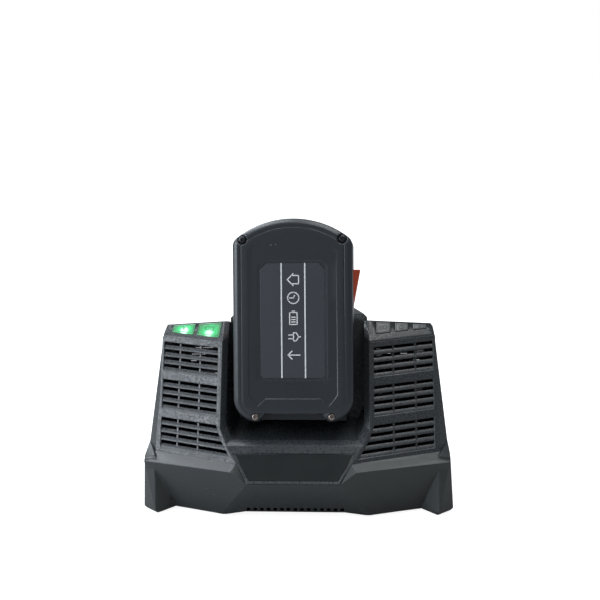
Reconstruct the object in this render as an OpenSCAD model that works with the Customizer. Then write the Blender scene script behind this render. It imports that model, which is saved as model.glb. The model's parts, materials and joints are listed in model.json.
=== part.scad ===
// Bench charger for a slide-on power tool battery pack, shown with the pack docked.
// X runs across the front, Y points to the back and Z up. The origin is on the bench,
// below the middle of the housing.

/* [Housing] */
// Width across the corner feet
casing_w = 203; // [180:1:250]
// Depth from the front edge of the bib to the back feet
casing_d = 124; // [108:1:150]
// Height of the ridge on top of the two wings
wing_h = 119.8; // [112:0.1:130]
// Height of the ridge above the front edge of the indicator faces
led_drop = 10.8; // [8:0.1:16]
// Height of the seam between the two housing shells
seam_z = 39.5; // [36:0.5:42]
// Wall thickness of the two housing shells
wall = 2.5; // [2:0.1:3.5]
// How far the upper shell's wall reaches down inside the lower shell
tongue = 2.5; // [2:0.1:4]
// How far the wings' inner front corner lies behind the bib's front edge, at the seam
wing_toe = 13.2; // [8:0.1:20]
// Angle by which each wing's front turns outwards
wing_yaw = 22.5; // [15:0.5:28]
// Angle by which each wing's front leans back
wing_lean = 24.2; // [18:0.1:28]
// Angle by which the indicator faces lean back
led_lean = 45; // [40:1:50]
// Slope of the housing's roof down to the back
roof_fall = 20; // [12:1:25]
// Inward slope of the wings' outer sides
side_draft = 6.4; // [4:0.1:9]

/* [Battery bay] */
// Clearance between the pack and the wing on each side of the bay
bay_gap = 6.5; // [5:0.1:12]
// Height of the bay's floor
bay_floor_z = 51; // [48:0.5:52]
// Width of the bevel around the bay's mouth
mouth_bevel = 3.5; // [2.5:0.1:4.5]
// Height of the bib's lower edge
bib_z = 29; // [26:0.5:31]
// Height of the tower that carries the rails
tower_h = 120; // [112:1:126]

/* [Vent panels] */
// Rows of slots in each group
slot_rows = 4; // [3:1:4]
// Height of one slot
slot_h = 2.2; // [1.6:0.1:2.8]
// Distance from one row of slots to the next
slot_pitch = 4.5; // [4:0.1:4.8]
// Distance from one group of rows to the next
group_pitch = 22.8; // [20:0.1:23]
// Width of the ribs between the columns
rib_w = 1.2; // [0.8:0.1:2]

/* [Battery pack] */
// Room from the ends of the cells to the outside of the pack's sides
pack_side_room = 5.5; // [4.5:0.1:9]
// Room above the cells, to the top of the arch
pack_top_room = 24.7; // [20:0.1:36]
// Room for the board and buttons behind the cells
pack_back_room = 19.6; // [18:0.1:26]
// Angle by which the docked pack leans back
pack_lean = 12.5; // [8:0.5:15]
// Wall thickness of the pack's shells
pack_wall = 2; // [1.6:0.1:2.6]
// Diameter of one cell
cell_d = 18.4; // [17:0.1:18.6]
// Length of one cell
cell_len = 65; // [60:0.5:66]
// Number of cells
cell_count = 5; // [3:1:5]
// Travel of the release buttons
button_travel = 2.5; // [1.5:0.1:3]

/* [Rails] */
// Width of the pack's rail head
head_w = 54; // [50:1:58]
// Height of the pack's rail head above its body
head_t = 12; // [11:0.5:13]
// Play between the rails and the head
slide_play = 0.4; // [0.3:0.05:0.6]

/* [Mains lead] */
// Diameter of the mains lead
lead_d = 5.5; // [5:0.1:6]
// Place of the lead's outlet across the back
gland_x = 10; // [0:1:30]
// Diameter of the plug's body
plug_d = 38; // [36:0.5:40]

/* [Hidden] */
$fn = 48;
plastic = "#24272a";
reach = 400;
fit = 0.15;

// Sizes that follow from the ones above
led_z = wing_h - led_drop;
pack_foot_room = 9;
cell_pitch = cell_d + 0.6;
pack_w = cell_len + 2 * pack_side_room;
pack_len = pack_foot_room + cell_count * cell_pitch + pack_top_room;
pack_body_t = cell_d + pack_back_room;
bay_w = pack_w + 2 * bay_gap;

function unit(v) = v / norm(v);
function face_normal(yaw, lean) = [sin(yaw) * cos(lean), -cos(yaw) * cos(lean), sin(lean)];
function plane_normal(a, b, c) = unit(cross(b - a, c - a));

// The half space behind the plane through p with outward normal n, and the one ahead of it
module behind(p, n, inset = 0)
    translate(p - inset * n)
        rotate([0, acos(n.z), atan2(n.y, n.x)])
            translate([-reach, -reach, -2 * reach])
                cube(2 * reach);
module ahead(p, n, inset = 0)
    translate(p - inset * n)
        rotate([0, acos(n.z), atan2(n.y, n.x)])
            translate([-reach, -reach, 0])
                cube(2 * reach);
module both_sides() {
    children();
    mirror([1, 0, 0]) children();
}
// An outline in the XZ plane, cut or filled along Y
module front_profile(points, y0 = -reach, y1 = reach)
    translate([0, y1, 0])
        rotate([90, 0, 0])
            linear_extrude(y1 - y0)
                polygon(points);
// A tube of n sides along points, whose rings lie across the way it runs
function way(p, i) = unit(p[min(i + 1, len(p) - 1)] - p[max(i - 1, 0)]);
function ring(p, i, r, n, up) =
    let (t = way(p, i), s = unit(cross(t, up)), u = cross(s, t))
    [for (k = [0:n - 1]) p[i] + r * (cos(360 * k / n) * s + sin(360 * k / n) * u)];
module tube(p, d, n = 10, up = [0, 0, 1]) {
    last = len(p) - 1;
    rings = [for (i = [0:last]) each ring(p, i, d / 2, n, up)];
    sides = [for (i = [0:last - 1], k = [0:n - 1])
        [i * n + k, (i + 1) * n + k, (i + 1) * n + (k + 1) % n, i * n + (k + 1) % n]];
    first_cap = [for (k = [0:n - 1]) k];
    last_cap = [for (k = [n - 1:-1:0]) last * n + k];
    polyhedron(rings, concat(sides, [first_cap, last_cap]));
}

// Housing planes
front_y = -casing_d / 2;
rear_y = casing_d / 2;
rear_inset = 2;
mouth_half = bay_w / 2 + mouth_bevel;
front_n = face_normal(wing_yaw, wing_lean);
led_n = face_normal(wing_yaw, led_lean);
front_slope = tan(wing_lean) / cos(wing_yaw);
corner = [mouth_half, front_y + wing_toe + (led_z - seam_z) * front_slope, led_z];
function wing_y(x, z) = corner.y + tan(wing_yaw) * (x - corner.x) + front_slope * (z - corner.z);
ridge = [mouth_half, corner.y + (wing_h - led_z) * tan(led_lean) / cos(wing_yaw), wing_h];
ridge_fall = 0.02;
roof_n = unit([ridge_fall, tan(roof_fall), 1]);
function roof_z(x, y) = ridge.z - (x - ridge.x) * ridge_fall - (y - ridge.y) * tan(roof_fall);
side_seam_z = seam_z + 3;
side_x = casing_w / 2 - 3;
function side_at(z) = side_x - (z - side_seam_z) * tan(side_draft);
side_n = [cos(side_draft), 0, sin(side_draft)];
shoulder_n = [cos(21), 0, sin(21)];
seam_corner = [side_x - 5, wing_y(side_x - 5, seam_z), seam_z];
seam_side = [side_x, wing_y(side_x, side_seam_z) + 4.5, side_seam_z];
bevel_top = [side_at(led_z), wing_y(side_at(led_z), led_z) + 1.7, led_z];
corner_bevel_n = plane_normal(seam_corner, seam_side, bevel_top);
bib_lean = 39;
bib_n = face_normal(0, bib_lean);
bib_edge = [0, front_y, bib_z];
rim_z = bay_floor_z - 2.5;
rim_half = bay_w / 2 - 1;
rim_y = front_y + (rim_z - bib_z) * tan(bib_lean);
rim_corner = [mouth_half, wing_y(mouth_half, rim_z + 9), rim_z + 9];
rim_inner = [rim_half, rim_y, rim_z];
rear_n = [0, cos(3), sin(3)];
rear_edge = [0, rear_y - rear_inset, side_seam_z];
mouth_n = unit([-1, -1, front_slope]);
rim_corner_n = -plane_normal(rim_corner, rim_inner, [bay_w / 2, rim_corner.y + mouth_bevel, rim_corner.z]);
ledge_slope = 32;
ledge_n = [0, -sin(ledge_slope), cos(ledge_slope)];
lens_flare_n = plane_normal(corner, ridge, [mouth_half - 4.5, ridge.y + 1.5, wing_h - 1.5]);

// Docked pack
pack_head_t = pack_body_t + head_t;
tower_gap = 1;
pack_origin = [0, front_y + 13.7, bay_floor_z + 14];
slide_axis = [0, sin(pack_lean), cos(pack_lean)];
depth_axis = [0, cos(pack_lean), -sin(pack_lean)];
tower_n = -depth_axis;
tower_foot = pack_origin + (pack_head_t + tower_gap) * depth_axis;
function tower_y(z) = tower_foot.y + (z - tower_foot.z) * tan(pack_lean);
tower_edge = [0, tower_y(tower_h), tower_h];
tower_corner = [bay_w / 2 - 0.7, tower_y(tower_h), tower_h];
tower_side_n = -plane_normal(
    tower_corner, tower_corner + [-4.7, 10.8, 0.5],
    [mouth_half - 0.7, tower_y(tower_h - 3.5), tower_h - 3.5]);
tower_back_y = tower_edge.y + 15;
tower_half = bay_w / 2 + 2;
module in_pack_frame()
    translate(pack_origin)
        rotate([-pack_lean, 0, 0])
            children();

// Upper housing
module envelope(inset = 0)
    difference() {
        intersection() {
            behind(rear_edge, rear_n, inset);
            wing_planes(inset);
            mirror([1, 0, 0]) wing_planes(inset);
        }
        intersection() {
            ahead(bib_edge, bib_n, inset);
            translate([-reach, -reach, rim_z - reach]) cube([2 * reach, 2 * reach, reach]);
        }
    }
module wing_planes(inset)
    intersection() {
        behind(corner, front_n, inset);
        behind(corner, led_n, inset);
        behind(ridge, roof_n, inset);
        behind([side_x, 0, side_seam_z], side_n, inset);
        behind([side_at(led_z), 0, led_z], shoulder_n, inset);
        behind(seam_corner, corner_bevel_n, inset);
    }
function bay_outline(grow) = let (half = bay_w / 2 + grow, low = bay_floor_z - grow) [
    [-half, low + 8], [-half + 4, low], [half - 4, low], [half, low + 8], [half, reach], [-half, reach]];
module mouth(inset)
    intersection() {
        ahead(bib_edge + [0, rim_y - front_y, rim_z - bib_z], ledge_n, inset);
        mouth_side(inset);
        mirror([1, 0, 0]) mouth_side(inset);
    }
module mouth_side(inset)
    intersection() {
        ahead(corner, mouth_n, inset);
        ahead(rim_corner, rim_corner_n, inset);
    }
module tower_top(inset)
    intersection() {
        behind(tower_foot, tower_n, inset);
        behind(tower_edge, [0, 0, 1], inset);
        behind(tower_corner, tower_side_n, inset);
        mirror([1, 0, 0]) behind(tower_corner, tower_side_n, inset);
        behind([0, tower_back_y, tower_h], [0, sin(40), cos(40)], inset);
        behind(rear_edge, rear_n, inset);
        translate([-tower_half + inset, 0, bay_floor_z + 40]) cube([2 * (tower_half - inset), reach, reach]);
    }
module housing_form(inset = 0) {
    difference() {
        envelope(inset);
        front_profile(bay_outline(inset));
        mouth(inset);
        both_sides()
            intersection() {
                ahead(corner, lens_flare_n, inset);
                translate([mouth_half - 12, -reach, -reach]) cube(2 * reach);
            }
    }
    intersection() {
        envelope(inset);
        behind(tower_foot, tower_n, inset);
        translate([-tower_half - inset * 2, -reach, bay_floor_z - 20])
            cube([2 * tower_half + inset * 4, 2 * reach, reach]);
    }
    tower_top(inset);
}
bib_half_top = bay_w / 2 - 8;
bib_half_foot = bib_half_top - 7;
function bib_outline(play) = [
    [-bib_half_foot - play, bib_z - play], [bib_half_foot + play, bib_z - play],
    [bib_half_top + play + 7, seam_z + 10.5], [-bib_half_top - play - 7, seam_z + 10.5]];
module above_seam() {
    translate([-reach, -reach, seam_z - tongue]) cube(2 * reach);
    intersection() {
        front_profile(bib_outline(0));
        ahead(bib_edge, bib_n, wall);
    }
}
panel_t = 1.6;
panel_ledge = 0.9;
function panel_outline(play) = let (
    left = mouth_half + 2 - play, right = side_x - 7.5 + play,
    top = led_z - 2 + play, low = seam_z + 2 - play) [
    [left, top], [right - 0.5, top], [right, low], [rim_half - 3.5 - play, low],
    [rim_half + 3 - play, rim_z + 2.5], [left, rim_z + 11]];
function panel_inner_x(z) =
    z > rim_z + 11 ? mouth_half + 2
    : z > rim_z + 2.5 ? lerp(rim_half + 3, mouth_half + 2, (z - rim_z - 2.5) / 8.5)
    : lerp(rim_half - 3.5, rim_half + 3, (z - seam_z - 2) / (rim_z + 0.5 - seam_z));
function lerp(a, b, t) = a + (b - a) * t;

// Indicator windows, in the indicator face's own frame: s outwards, t up the slope
along = [cos(wing_yaw), sin(wing_yaw), 0];
up_slope = cross(led_n, along);
function ridge_t(s) = (roof_n * (ridge - corner) - s * (roof_n * along)) / (roof_n * up_slope);
// Each window's two ends along its lower edge, which follow the width of the face
face_len = (side_at(led_z) - mouth_half) / cos(wing_yaw);
face_end_t = ridge_t(face_len);
function face_s(s) = 4 + (s - 4) * (face_len - 4) / 42.587;
left_windows = [[4, face_s(21)], [face_s(23.8), face_s(40.6)]];
right_windows = [[face_s(6.2), face_s(16.2)], [face_s(19.6), face_s(28.8)], [face_s(32.4), face_s(42.2)]];
left_window_low = 2.8;
right_window_low = 0.5609 * face_end_t;
left_window_slant = 0.15;
right_window_slant = 0.3;
window_border = 1.3;
lens_flange = 0.7;
lens_flange_t = 0.9;
lens_proud = 0.4;
module in_led_frame()
    translate(corner)
        rotate([0, 0, wing_yaw])
            rotate([90 - led_lean, 0, 0])
                children();
function window_top(s, slant) = ridge_t(s + 8 * slant) - window_border;
function window_corner(s, low, slant, rise) =
    [s + slant * (window_top(s, slant) - low), window_top(s, slant) + rise];
module window_outline(span, low, slant, grow = 0, top_cut = 0)
    polygon([[span[0] - grow, low - grow], [span[1] + grow, low - grow],
        window_corner(span[1], low, slant, grow - top_cut) + [grow, 0],
        window_corner(span[0], low, slant, grow - top_cut) - [grow, 0]]);
module window_cuts(windows, low, slant)
    for (span = windows)
        in_led_frame()
            translate([0, 0, -wall - 0.25])
                linear_extrude(wall + 3)
                    window_outline(span, low, slant, fit);
module lens(span, low, slant)
    in_led_frame() {
        translate([0, 0, -wall - 0.1])
            linear_extrude(wall + 0.1 + lens_proud) window_outline(span, low, slant);
        translate([0, 0, -wall - 0.05 - lens_flange_t])
            linear_extrude(lens_flange_t) window_outline(span, low, slant, lens_flange, lens_flange + 0.9);
    }
left_posts = [[face_s(12.5), 0.8], [face_s(32), 0.8]];
right_posts = [[face_s(17.5), 1.6], [face_s(31), 1.6]];
board_depth = 6.5;
board_t = 1.6;
module indicator_posts(posts)
    for (p = posts)
        in_led_frame()
            translate([p.x, p.y, 0]) {
                translate([0, 0, -board_depth]) cylinder(r = 1.2, h = board_depth - wall / 2);
                translate([0, 0, -board_depth - board_t - 0.5]) cylinder(r = 0.8, h = board_t + 1);
            }
module indicator_board(windows, posts, low) {
    in_led_frame()
        difference() {
            translate([face_s(6), -0.8, -board_depth - board_t])
                cube([face_s(40.5) - face_s(6), 1.0242 * face_end_t + 0.8, board_t - 0.05]);
            for (p = posts)
                translate([p.x, p.y, -board_depth - 2 * board_t]) cylinder(r = 0.9, h = 3 * board_t);
        }
    for (span = windows)
        in_led_frame()
            translate([(span[0] + span[1]) / 2 - 1.75, low + 0.6, -board_depth - 0.1]) cube([3.5, 2.8, 1.5]);
}

// Rails and stop on the tower, in the pack's frame: x across, y into the depth, z along the slide
rail_len = 64;
neck_cut = 4;
flange_t = 4.4;
rail_in_x = head_w / 2 + slide_play;
rail_out_x = rail_in_x + 5.5;
flange_in_x = head_w / 2 - neck_cut + slide_play;
rail_root = pack_head_t + tower_gap + 1;
rail_d = rail_root - pack_body_t - 1;
module rails()
    in_pack_frame()
        both_sides() {
            translate([rail_in_x, pack_body_t + 1, -2]) cube([rail_out_x - rail_in_x, rail_d, rail_len + 2]);
            translate([flange_in_x, pack_body_t + 1, -2]) cube([neck_cut + 0.1, flange_t, rail_len + 2]);
            translate([flange_in_x, pack_body_t + 1, -4]) cube([rail_out_x - flange_in_x, rail_d, 3.7]);
        }
block_half = 18.5;
block_z0 = 2;
block_z1 = 16;
module contact_window()
    in_pack_frame()
        translate([-block_half - fit, pack_head_t - 2, block_z0 - fit])
            cube([2 * (block_half + fit), 12, block_z1 - block_z0 + 2 * fit]);

// Screw bosses that join the two shells
boss_x = side_x - 8.5;
boss_spots = [[boss_x, wing_y(boss_x, seam_z) + 15.4], [boss_x, rear_y - 10.5]];
boss_r = 4.5;
screw_r = 1.9;
boss_len = 9.5;
module upper_bosses()
    intersection() {
        both_sides()
            for (p = boss_spots)
                translate([p.x, p.y, seam_z + 1]) {
                    cylinder(r = boss_r, h = boss_len);
                    translate([0, -1, 0]) cube([30, 2, boss_len]);
                }
        envelope(wall / 2);
    }
module upper_boss_bores()
    both_sides()
        for (p = boss_spots)
            translate([p.x, p.y, seam_z - 5]) cylinder(r = screw_r + 0.05, h = boss_len + 5);

// Cooling fan on the back of the right wing
fan_w = 35;
fan_t = 10;
fan_x = (bay_w / 2 + side_at(led_z - 20)) / 2;
fan_back = rear_y - rear_inset - (led_z - 20.5 - side_seam_z) * tan(3) - 6.09;
// The fan sits between the top of the screw bosses and the roof
fan_room = roof_z(fan_x, fan_back) - seam_z - boss_len - 1 - fan_w;
fan_at = [fan_x, fan_back - fan_t, seam_z + boss_len + 1 + fan_w / 2 + 0.2424 * fan_room];
fan_hole = fan_w / 2 - 3;
fan_bore_r = fan_w / 2 - 1.3;
fan_hub_r = 8;
fan_boss_r = 3;
module fan_bosses()
    intersection() {
        for (sx = [-1, 1], sz = [-1, 1])
            translate([fan_at.x + sx * fan_hole, fan_at.y + fan_t, fan_at.z + sz * fan_hole])
                rotate([-90, 0, 0]) cylinder(r = fan_boss_r, h = 20);
        envelope(wall / 2);
    }
module fan_boss_bores()
    for (sx = [-1, 1], sz = [-1, 1])
        translate([fan_at.x + sx * fan_hole, fan_at.y + fan_t - 1, fan_at.z + sz * fan_hole])
            rotate([-90, 0, 0]) cylinder(r = 1.25, h = 5.6);
// Slots in the rear wall inside a round outline, which fall towards the outside so that nothing drips in
rear_slot_fall = 52;
function rear_slot_half(z) = sqrt(pow(fan_hole, 2) - z * z);
module rear_vents()
    both_sides()
        for (z = [-13.8:4.6:13.8])
            translate([fan_at.x, rear_y - rear_inset, fan_at.z + z])
                rotate([-rear_slot_fall, 0, 0])
                    translate([-rear_slot_half(z), -8.6, -0.7]) cube([2 * rear_slot_half(z), 24, 1.4]);

module upper_housing()
    color(plastic)
        difference() {
            union() {
                intersection() {
                    difference() {
                        housing_form(0);
                        housing_form(wall);
                    }
                    above_seam();
                }
                upper_bosses();
                fan_bosses();
                indicator_posts(right_posts);
                mirror([1, 0, 0]) indicator_posts(left_posts);
                rails();
            }
            upper_boss_bores();
            fan_boss_bores();
            rear_vents();
            contact_window();
            bib_recess();
            window_cuts(right_windows, right_window_low, right_window_slant);
            mirror([1, 0, 0]) window_cuts(left_windows, left_window_low, left_window_slant);
            both_sides() {
                intersection() {
                    front_profile(panel_outline(fit));
                    ahead(corner, front_n, panel_t + 0.05);
                }
                intersection() {
                    front_profile(panel_outline(-panel_ledge));
                    ahead(corner, front_n, wall + 1);
                }
            }
        }

// Vent panels
rib_shares = [0.33, 0.705];
module vent_panel()
    color("#2c2f33")
        difference() {
            intersection() {
                behind(corner, front_n);
                ahead(corner, front_n, panel_t);
                front_profile(panel_outline(0));
            }
            for (g = [0:2], row = [0:slot_rows - 1])
                slot_row(led_z - 4.3 - g * group_pitch - row * slot_pitch);
        }
module slot_row(top) {
    x0 = panel_inner_x(top - slot_h) + 0.9;
    x1 = side_x - 8.8;
    ribs = [for (share = rib_shares) lerp(mouth_half + 2.9, x1, share)];
    edges = concat([x0 - rib_w / 2], ribs, [x1 + rib_w / 2]);
    for (i = [0:2])
        translate([edges[i] + rib_w / 2, front_y - 5, top - slot_h])
            cube([edges[i + 1] - edges[i] - rib_w, casing_d, slot_h]);
}
module right_vent_panel() vent_panel();
module left_vent_panel() mirror([1, 0, 0]) vent_panel();

// Plate on the bib
plate_foot_t = 2.3;
plate_top_t = 20;
plate_t = 1;
module bib_plate_shape(play, depth)
    translate(bib_edge)
        rotate([90 - bib_lean, 0, 0])
            translate([0, 0, -depth])
                linear_extrude(depth + (play > 0 ? 5 : -0.1))
                    offset(delta = play) bib_plate_outline();
module bib_plate_outline()
    polygon([[-bib_half_foot + 1.5, plate_foot_t], [bib_half_foot - 1.5, plate_foot_t],
        [bib_half_top + 2, plate_top_t], [-bib_half_top - 2, plate_top_t]]);
module bib_recess() bib_plate_shape(fit, plate_t + 0.2);
module bib_plate() color("#17191c") bib_plate_shape(0, plate_t + 0.15);

module lens_left_inner()
    color("#38e070") mirror([1, 0, 0]) lens(left_windows[0], left_window_low, left_window_slant);
module lens_left_outer()
    color("#38e070") mirror([1, 0, 0]) lens(left_windows[1], left_window_low, left_window_slant);
module lens_right_inner()
    color("#5d6063") lens(right_windows[0], right_window_low, right_window_slant);
module lens_right_middle()
    color("#5d6063") lens(right_windows[1], right_window_low, right_window_slant);
module lens_right_outer()
    color("#5d6063") lens(right_windows[2], right_window_low, right_window_slant);
module left_indicator_board()
    color("#1d5a34") mirror([1, 0, 0]) indicator_board(left_windows, left_posts, left_window_low);
module right_indicator_board() color("#1d5a34")
    indicator_board(right_windows, right_posts, right_window_low);

// Lower casing
floor_z = 2;
raised_floor_z = 4.5;
casing_undercut = 28.4;
panel_yaw = 19.4;
panel_undercut = 15.3;
panel_point = [bib_half_top + 2.5, front_y + 1.5, seam_z - 3.5];
panel_n = face_normal(panel_yaw, -panel_undercut);
centre_n = face_normal(0, -casing_undercut);
function panel_y(x, z) = panel_point.y + tan(panel_yaw) * (x - panel_point.x)
    - tan(panel_undercut) / cos(panel_yaw) * (z - panel_point.z);
lip_inner = [bib_half_top, wing_y(bib_half_top, seam_z), seam_z];
lip_edge = [casing_w / 4 + 14, panel_y(casing_w / 4 + 14, seam_z - 3.7), seam_z - 3.7];
lip_n = plane_normal(lip_edge, seam_corner, lip_inner);
notch_n = -plane_normal(lip_inner, panel_point, [bib_half_foot, front_y, bib_z]);
lower_side = [casing_w / 2 - 2, 0, side_seam_z - 4.5];
lower_rear = [0, rear_y - 1, side_seam_z - 4.5];
module lower_form(inset = 0)
    intersection() {
        behind([0, front_y, bib_z], centre_n, inset);
        lower_planes(inset);
        mirror([1, 0, 0]) lower_planes(inset);
        behind(lower_rear, [0, cos(5), -sin(5)], inset);
        behind(rear_edge, unit([0, 4.5, 1]), inset);
        translate([-reach, -reach, floor_z + inset])
            cube([2 * reach, 2 * reach, side_seam_z - floor_z - inset]);
    }
module lower_planes(inset)
    intersection() {
        behind(panel_point, panel_n, inset);
        behind(lip_edge, lip_n, inset);
        behind(lower_side, [cos(6), 0, -sin(6)], inset);
        behind([side_x, 0, side_seam_z], unit([4.5, 0, 1]), inset);
    }
module notch_bevel()
    intersection() {
        ahead(lip_inner, notch_n);
        translate([bib_half_foot, -reach, bib_z - 5]) cube([20, reach, 40]);
    }
// Corner feet: a ridge at the front, a facet on each side of it
foot_z = 0.6;
foot_y = seam_corner.y - 6.04;
half_w = casing_w / 2;
module front_foot()
    hull() polyhedron([
        [seam_corner.x - 0.5, seam_corner.y + 1, seam_z - 0.3], [side_x, seam_side.y, side_seam_z],
        [half_w - 2, foot_y, seam_z - 2.5], [half_w - 9.5, foot_y - 2.5, seam_z - 0.5],
        [half_w - 9.5, foot_y - 9.3, foot_z + 2], [half_w - 10.5, foot_y - 7.5, foot_z],
        [half_w, foot_y - 0.5, foot_z + 2], [half_w - 2, foot_y, foot_z],
        [half_w - 20, foot_y - 1, foot_z + 1.4], [half_w - 17.5, foot_y + 1, foot_z],
        [side_x, foot_y + 26, side_seam_z - 2], [half_w - 0.6, foot_y + 24, foot_z + 2],
        [half_w - 2.6, foot_y + 23, foot_z], [half_w - 17.5, foot_y + 23, foot_z],
        [half_w - 16, foot_y + 23, seam_z - 9]],
        [for (i = [0:4]) [3 * i, 3 * i + 1, 3 * i + 2]]);
module rear_foot()
    hull() polyhedron([
        [side_x - 4, rear_y - 4, seam_z - 0.5], [side_x, rear_y - 9, side_seam_z - 1],
        [half_w - 2, rear_y - 6, seam_z - 2.5], [half_w - 9.5, rear_y - 0.6, seam_z - 3],
        [half_w - 9.5, rear_y, foot_z + 2], [half_w - 10.5, rear_y - 2, foot_z],
        [half_w, rear_y - 7, foot_z + 2], [half_w - 2, rear_y - 8, foot_z],
        [half_w - 20, rear_y - 2.5, foot_z + 1.4], [half_w - 17.5, rear_y - 5, foot_z],
        [side_x, rear_y - 34, side_seam_z - 2], [half_w - 0.6, rear_y - 33, foot_z + 2],
        [half_w - 2.6, rear_y - 32, foot_z], [half_w - 17.5, rear_y - 32, foot_z],
        [half_w - 16, rear_y - 32, seam_z - 9]],
        [for (i = [0:4]) [3 * i, 3 * i + 1, 3 * i + 2]]);
pad_r = 6;
pad_spots = [[half_w - 10, foot_y + 7], [half_w - 10, rear_y - 24]];
pad_depth = 1.6;
front_slot_count = 15;
front_slot_pitch = 4.3;
module front_slots()
    for (i = [0:front_slot_count - 1])
        translate([(i - (front_slot_count - 1) / 2) * front_slot_pitch - 1.2, front_y, raised_floor_z + 1])
            cube([2.4, 20, 2.6]);
module raised_middle()
    front_profile([[-bib_half_top - 10, floor_z - 1], [-bib_half_top - 8.5, floor_z],
            [-bib_half_foot - 2, raised_floor_z],
        [bib_half_foot + 2, raised_floor_z],
        [bib_half_top + 8.5, floor_z], [bib_half_top + 10, floor_z - 1]],
        -reach, front_y + 22);
casing_floor_t = 2.6;
module lower_cavity() {
    intersection() {
        lower_form(wall);
        behind(bib_edge, bib_n, wall + 1.6);
        translate([-reach, -reach, raised_floor_z + casing_floor_t])
            cube([2 * reach, 2 * reach, seam_z - tongue - 3 - raised_floor_z - casing_floor_t]);
    }
    intersection() {
        envelope(wall + 1);
        translate([-reach, -reach, seam_z - tongue - 3.05]) cube([2 * reach, 2 * reach, 60]);
    }
}
screw_head_r = 3.8;
board_z = 13;
board_half = casing_w / 2 - 23.5;
board_y0 = front_y + 32;
board_y1 = rear_y - 18;
board_posts = [for (sx = [1, -1], y = [board_y0 + 8, board_y1 - 4]) [sx * (board_half - 8), y]];
module lower_tubes()
    both_sides()
        for (p = boss_spots)
            translate([p.x, p.y, floor_z]) cylinder(r = boss_r + 1, h = seam_z + 0.8 - floor_z);
module lower_tube_bores()
    both_sides()
        for (p = boss_spots) {
            translate([p.x, p.y, -1]) cylinder(r = screw_r + 0.3, h = seam_z + 10);
            translate([p.x, p.y, -1]) cylinder(r = screw_head_r + 0.4, h = seam_z - 8);
        }
gland_z = 14;
gland_hole_r = 4.2;
module lower_casing()
    color(plastic)
        difference() {
            union() {
                difference() {
                    union() {
                        lower_form();
                        both_sides() {
                            front_foot();
                            rear_foot();
                        }
                    }
                    lower_cavity();
                    intersection() {
                        envelope(-fit);
                        translate([-reach, -reach, seam_z - tongue - 0.05]) cube(2 * reach);
                    }
                    intersection() {
                        front_profile(bib_outline(fit));
                        ahead(bib_edge, bib_n, wall + fit);
                    }
                    both_sides() notch_bevel();
                    raised_middle();
                    front_slots();
                }
                lower_tubes();
                for (p = board_posts)
                    translate([p.x, p.y, raised_floor_z])
                        cylinder(r = 3.5, h = board_z - raised_floor_z - 0.05);
            }
            lower_tube_bores();
            for (p = board_posts)
                translate([p.x, p.y, raised_floor_z + 1]) cylinder(r = 1.3, h = 20);
            both_sides()
                for (p = pad_spots)
                    translate([p.x, p.y, -1]) cylinder(r = pad_r + fit, h = 1 + pad_depth + 0.05);
            translate([gland_x, rear_y - 15, gland_z]) rotate([-90, 0, 0])
                cylinder(r = gland_hole_r, h = 30);
        }
module foot_pad(i)
    color("#111111")
        translate([i % 2 == 1 ? pad_spots[floor((i - 1) / 2)].x : -pad_spots[floor((i - 1) / 2)].x,
            pad_spots[floor((i - 1) / 2)].y, 0])
            cylinder(r = pad_r, h = pad_depth);
module housing_screws()
    color("#8a8d90")
        both_sides()
            for (p = boss_spots)
                translate([p.x, p.y, seam_z - 9 - 2.4]) {
                    cylinder(r = screw_head_r, h = 2.35);
                    cylinder(r = screw_r, h = 20);
                }

// Electronics
module main_board()
    color("#1f6b3c")
        difference() {
            translate([-board_half, board_y0, board_z]) cube([2 * board_half, board_y1 - board_y0, board_t]);
            for (p = board_posts)
                translate([p.x, p.y, board_z - 1]) cylinder(r = 1.6, h = board_t + 2);
        }
board_top = board_z + board_t;
module board_screws()
    color("#b0b3b6")
        for (p = board_posts)
            translate([p.x, p.y, board_top - 8]) {
                cylinder(r = 1.25, h = 8.1);
                translate([0, 0, 8.05]) cylinder(r = 2.8, h = 1.8);
            }
core_at = [-38, board_y0 + 28, board_top + 0.05];
module transformer_core()
    color("#3b3b3f")
        translate(core_at)
            difference() {
                cube([34, 26, 28]);
                for (x = [4.5, 22])
                    translate([x, -1, 5]) cube([7.5, 28, 18]);
            }
module transformer_winding()
    color("#b87333")
        translate(core_at + [17, 13, 5.1])
            difference() {
                translate([-12.3, -19, 0]) cube([24.6, 38, 17.8]);
                translate([-5.2, -13.2, -1]) cube([10.4, 26.4, 20]);
            }
module heat_sink()
    color("#c2c5c8")
        translate([8, board_y0 + 30, board_top + 0.05]) {
            cube([34, 3, 29]);
            for (i = [0:6])
                translate([i * 5.2, 2.9, 0]) cube([2, 20, 29]);
        }
module bulk_capacitor()
    color("#27408b") translate([22 - board_half, board_y0 + 42, board_top + 0.05]) cylinder(r = 10, h = 32);
module output_capacitors()
    color("#3a3f46")
        for (i = [0:2])
            translate([board_half - 24, board_y0 + 22 + i * 13, board_top + 0.05]) cylinder(r = 5, h = 20);
module line_choke()
    color("#c8a23a")
        translate([22 - board_half, board_y1 - 11, board_top + 0.05])
            rotate_extrude() translate([6.5, 3.5]) circle(r = 3.4);
module fuse()
    color("#d8d8d0")
        translate([44 - board_half, board_y1 - 5, board_top + 2.6]) rotate([0, 90, 0])
            cylinder(r = 2.5, h = 20);
terminal_at = [gland_x - 8, board_y1 - 14, board_top + 0.05];
module mains_terminal()
    color("#2f6f4f") translate(terminal_at) cube([16, 10, 12]);
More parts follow.
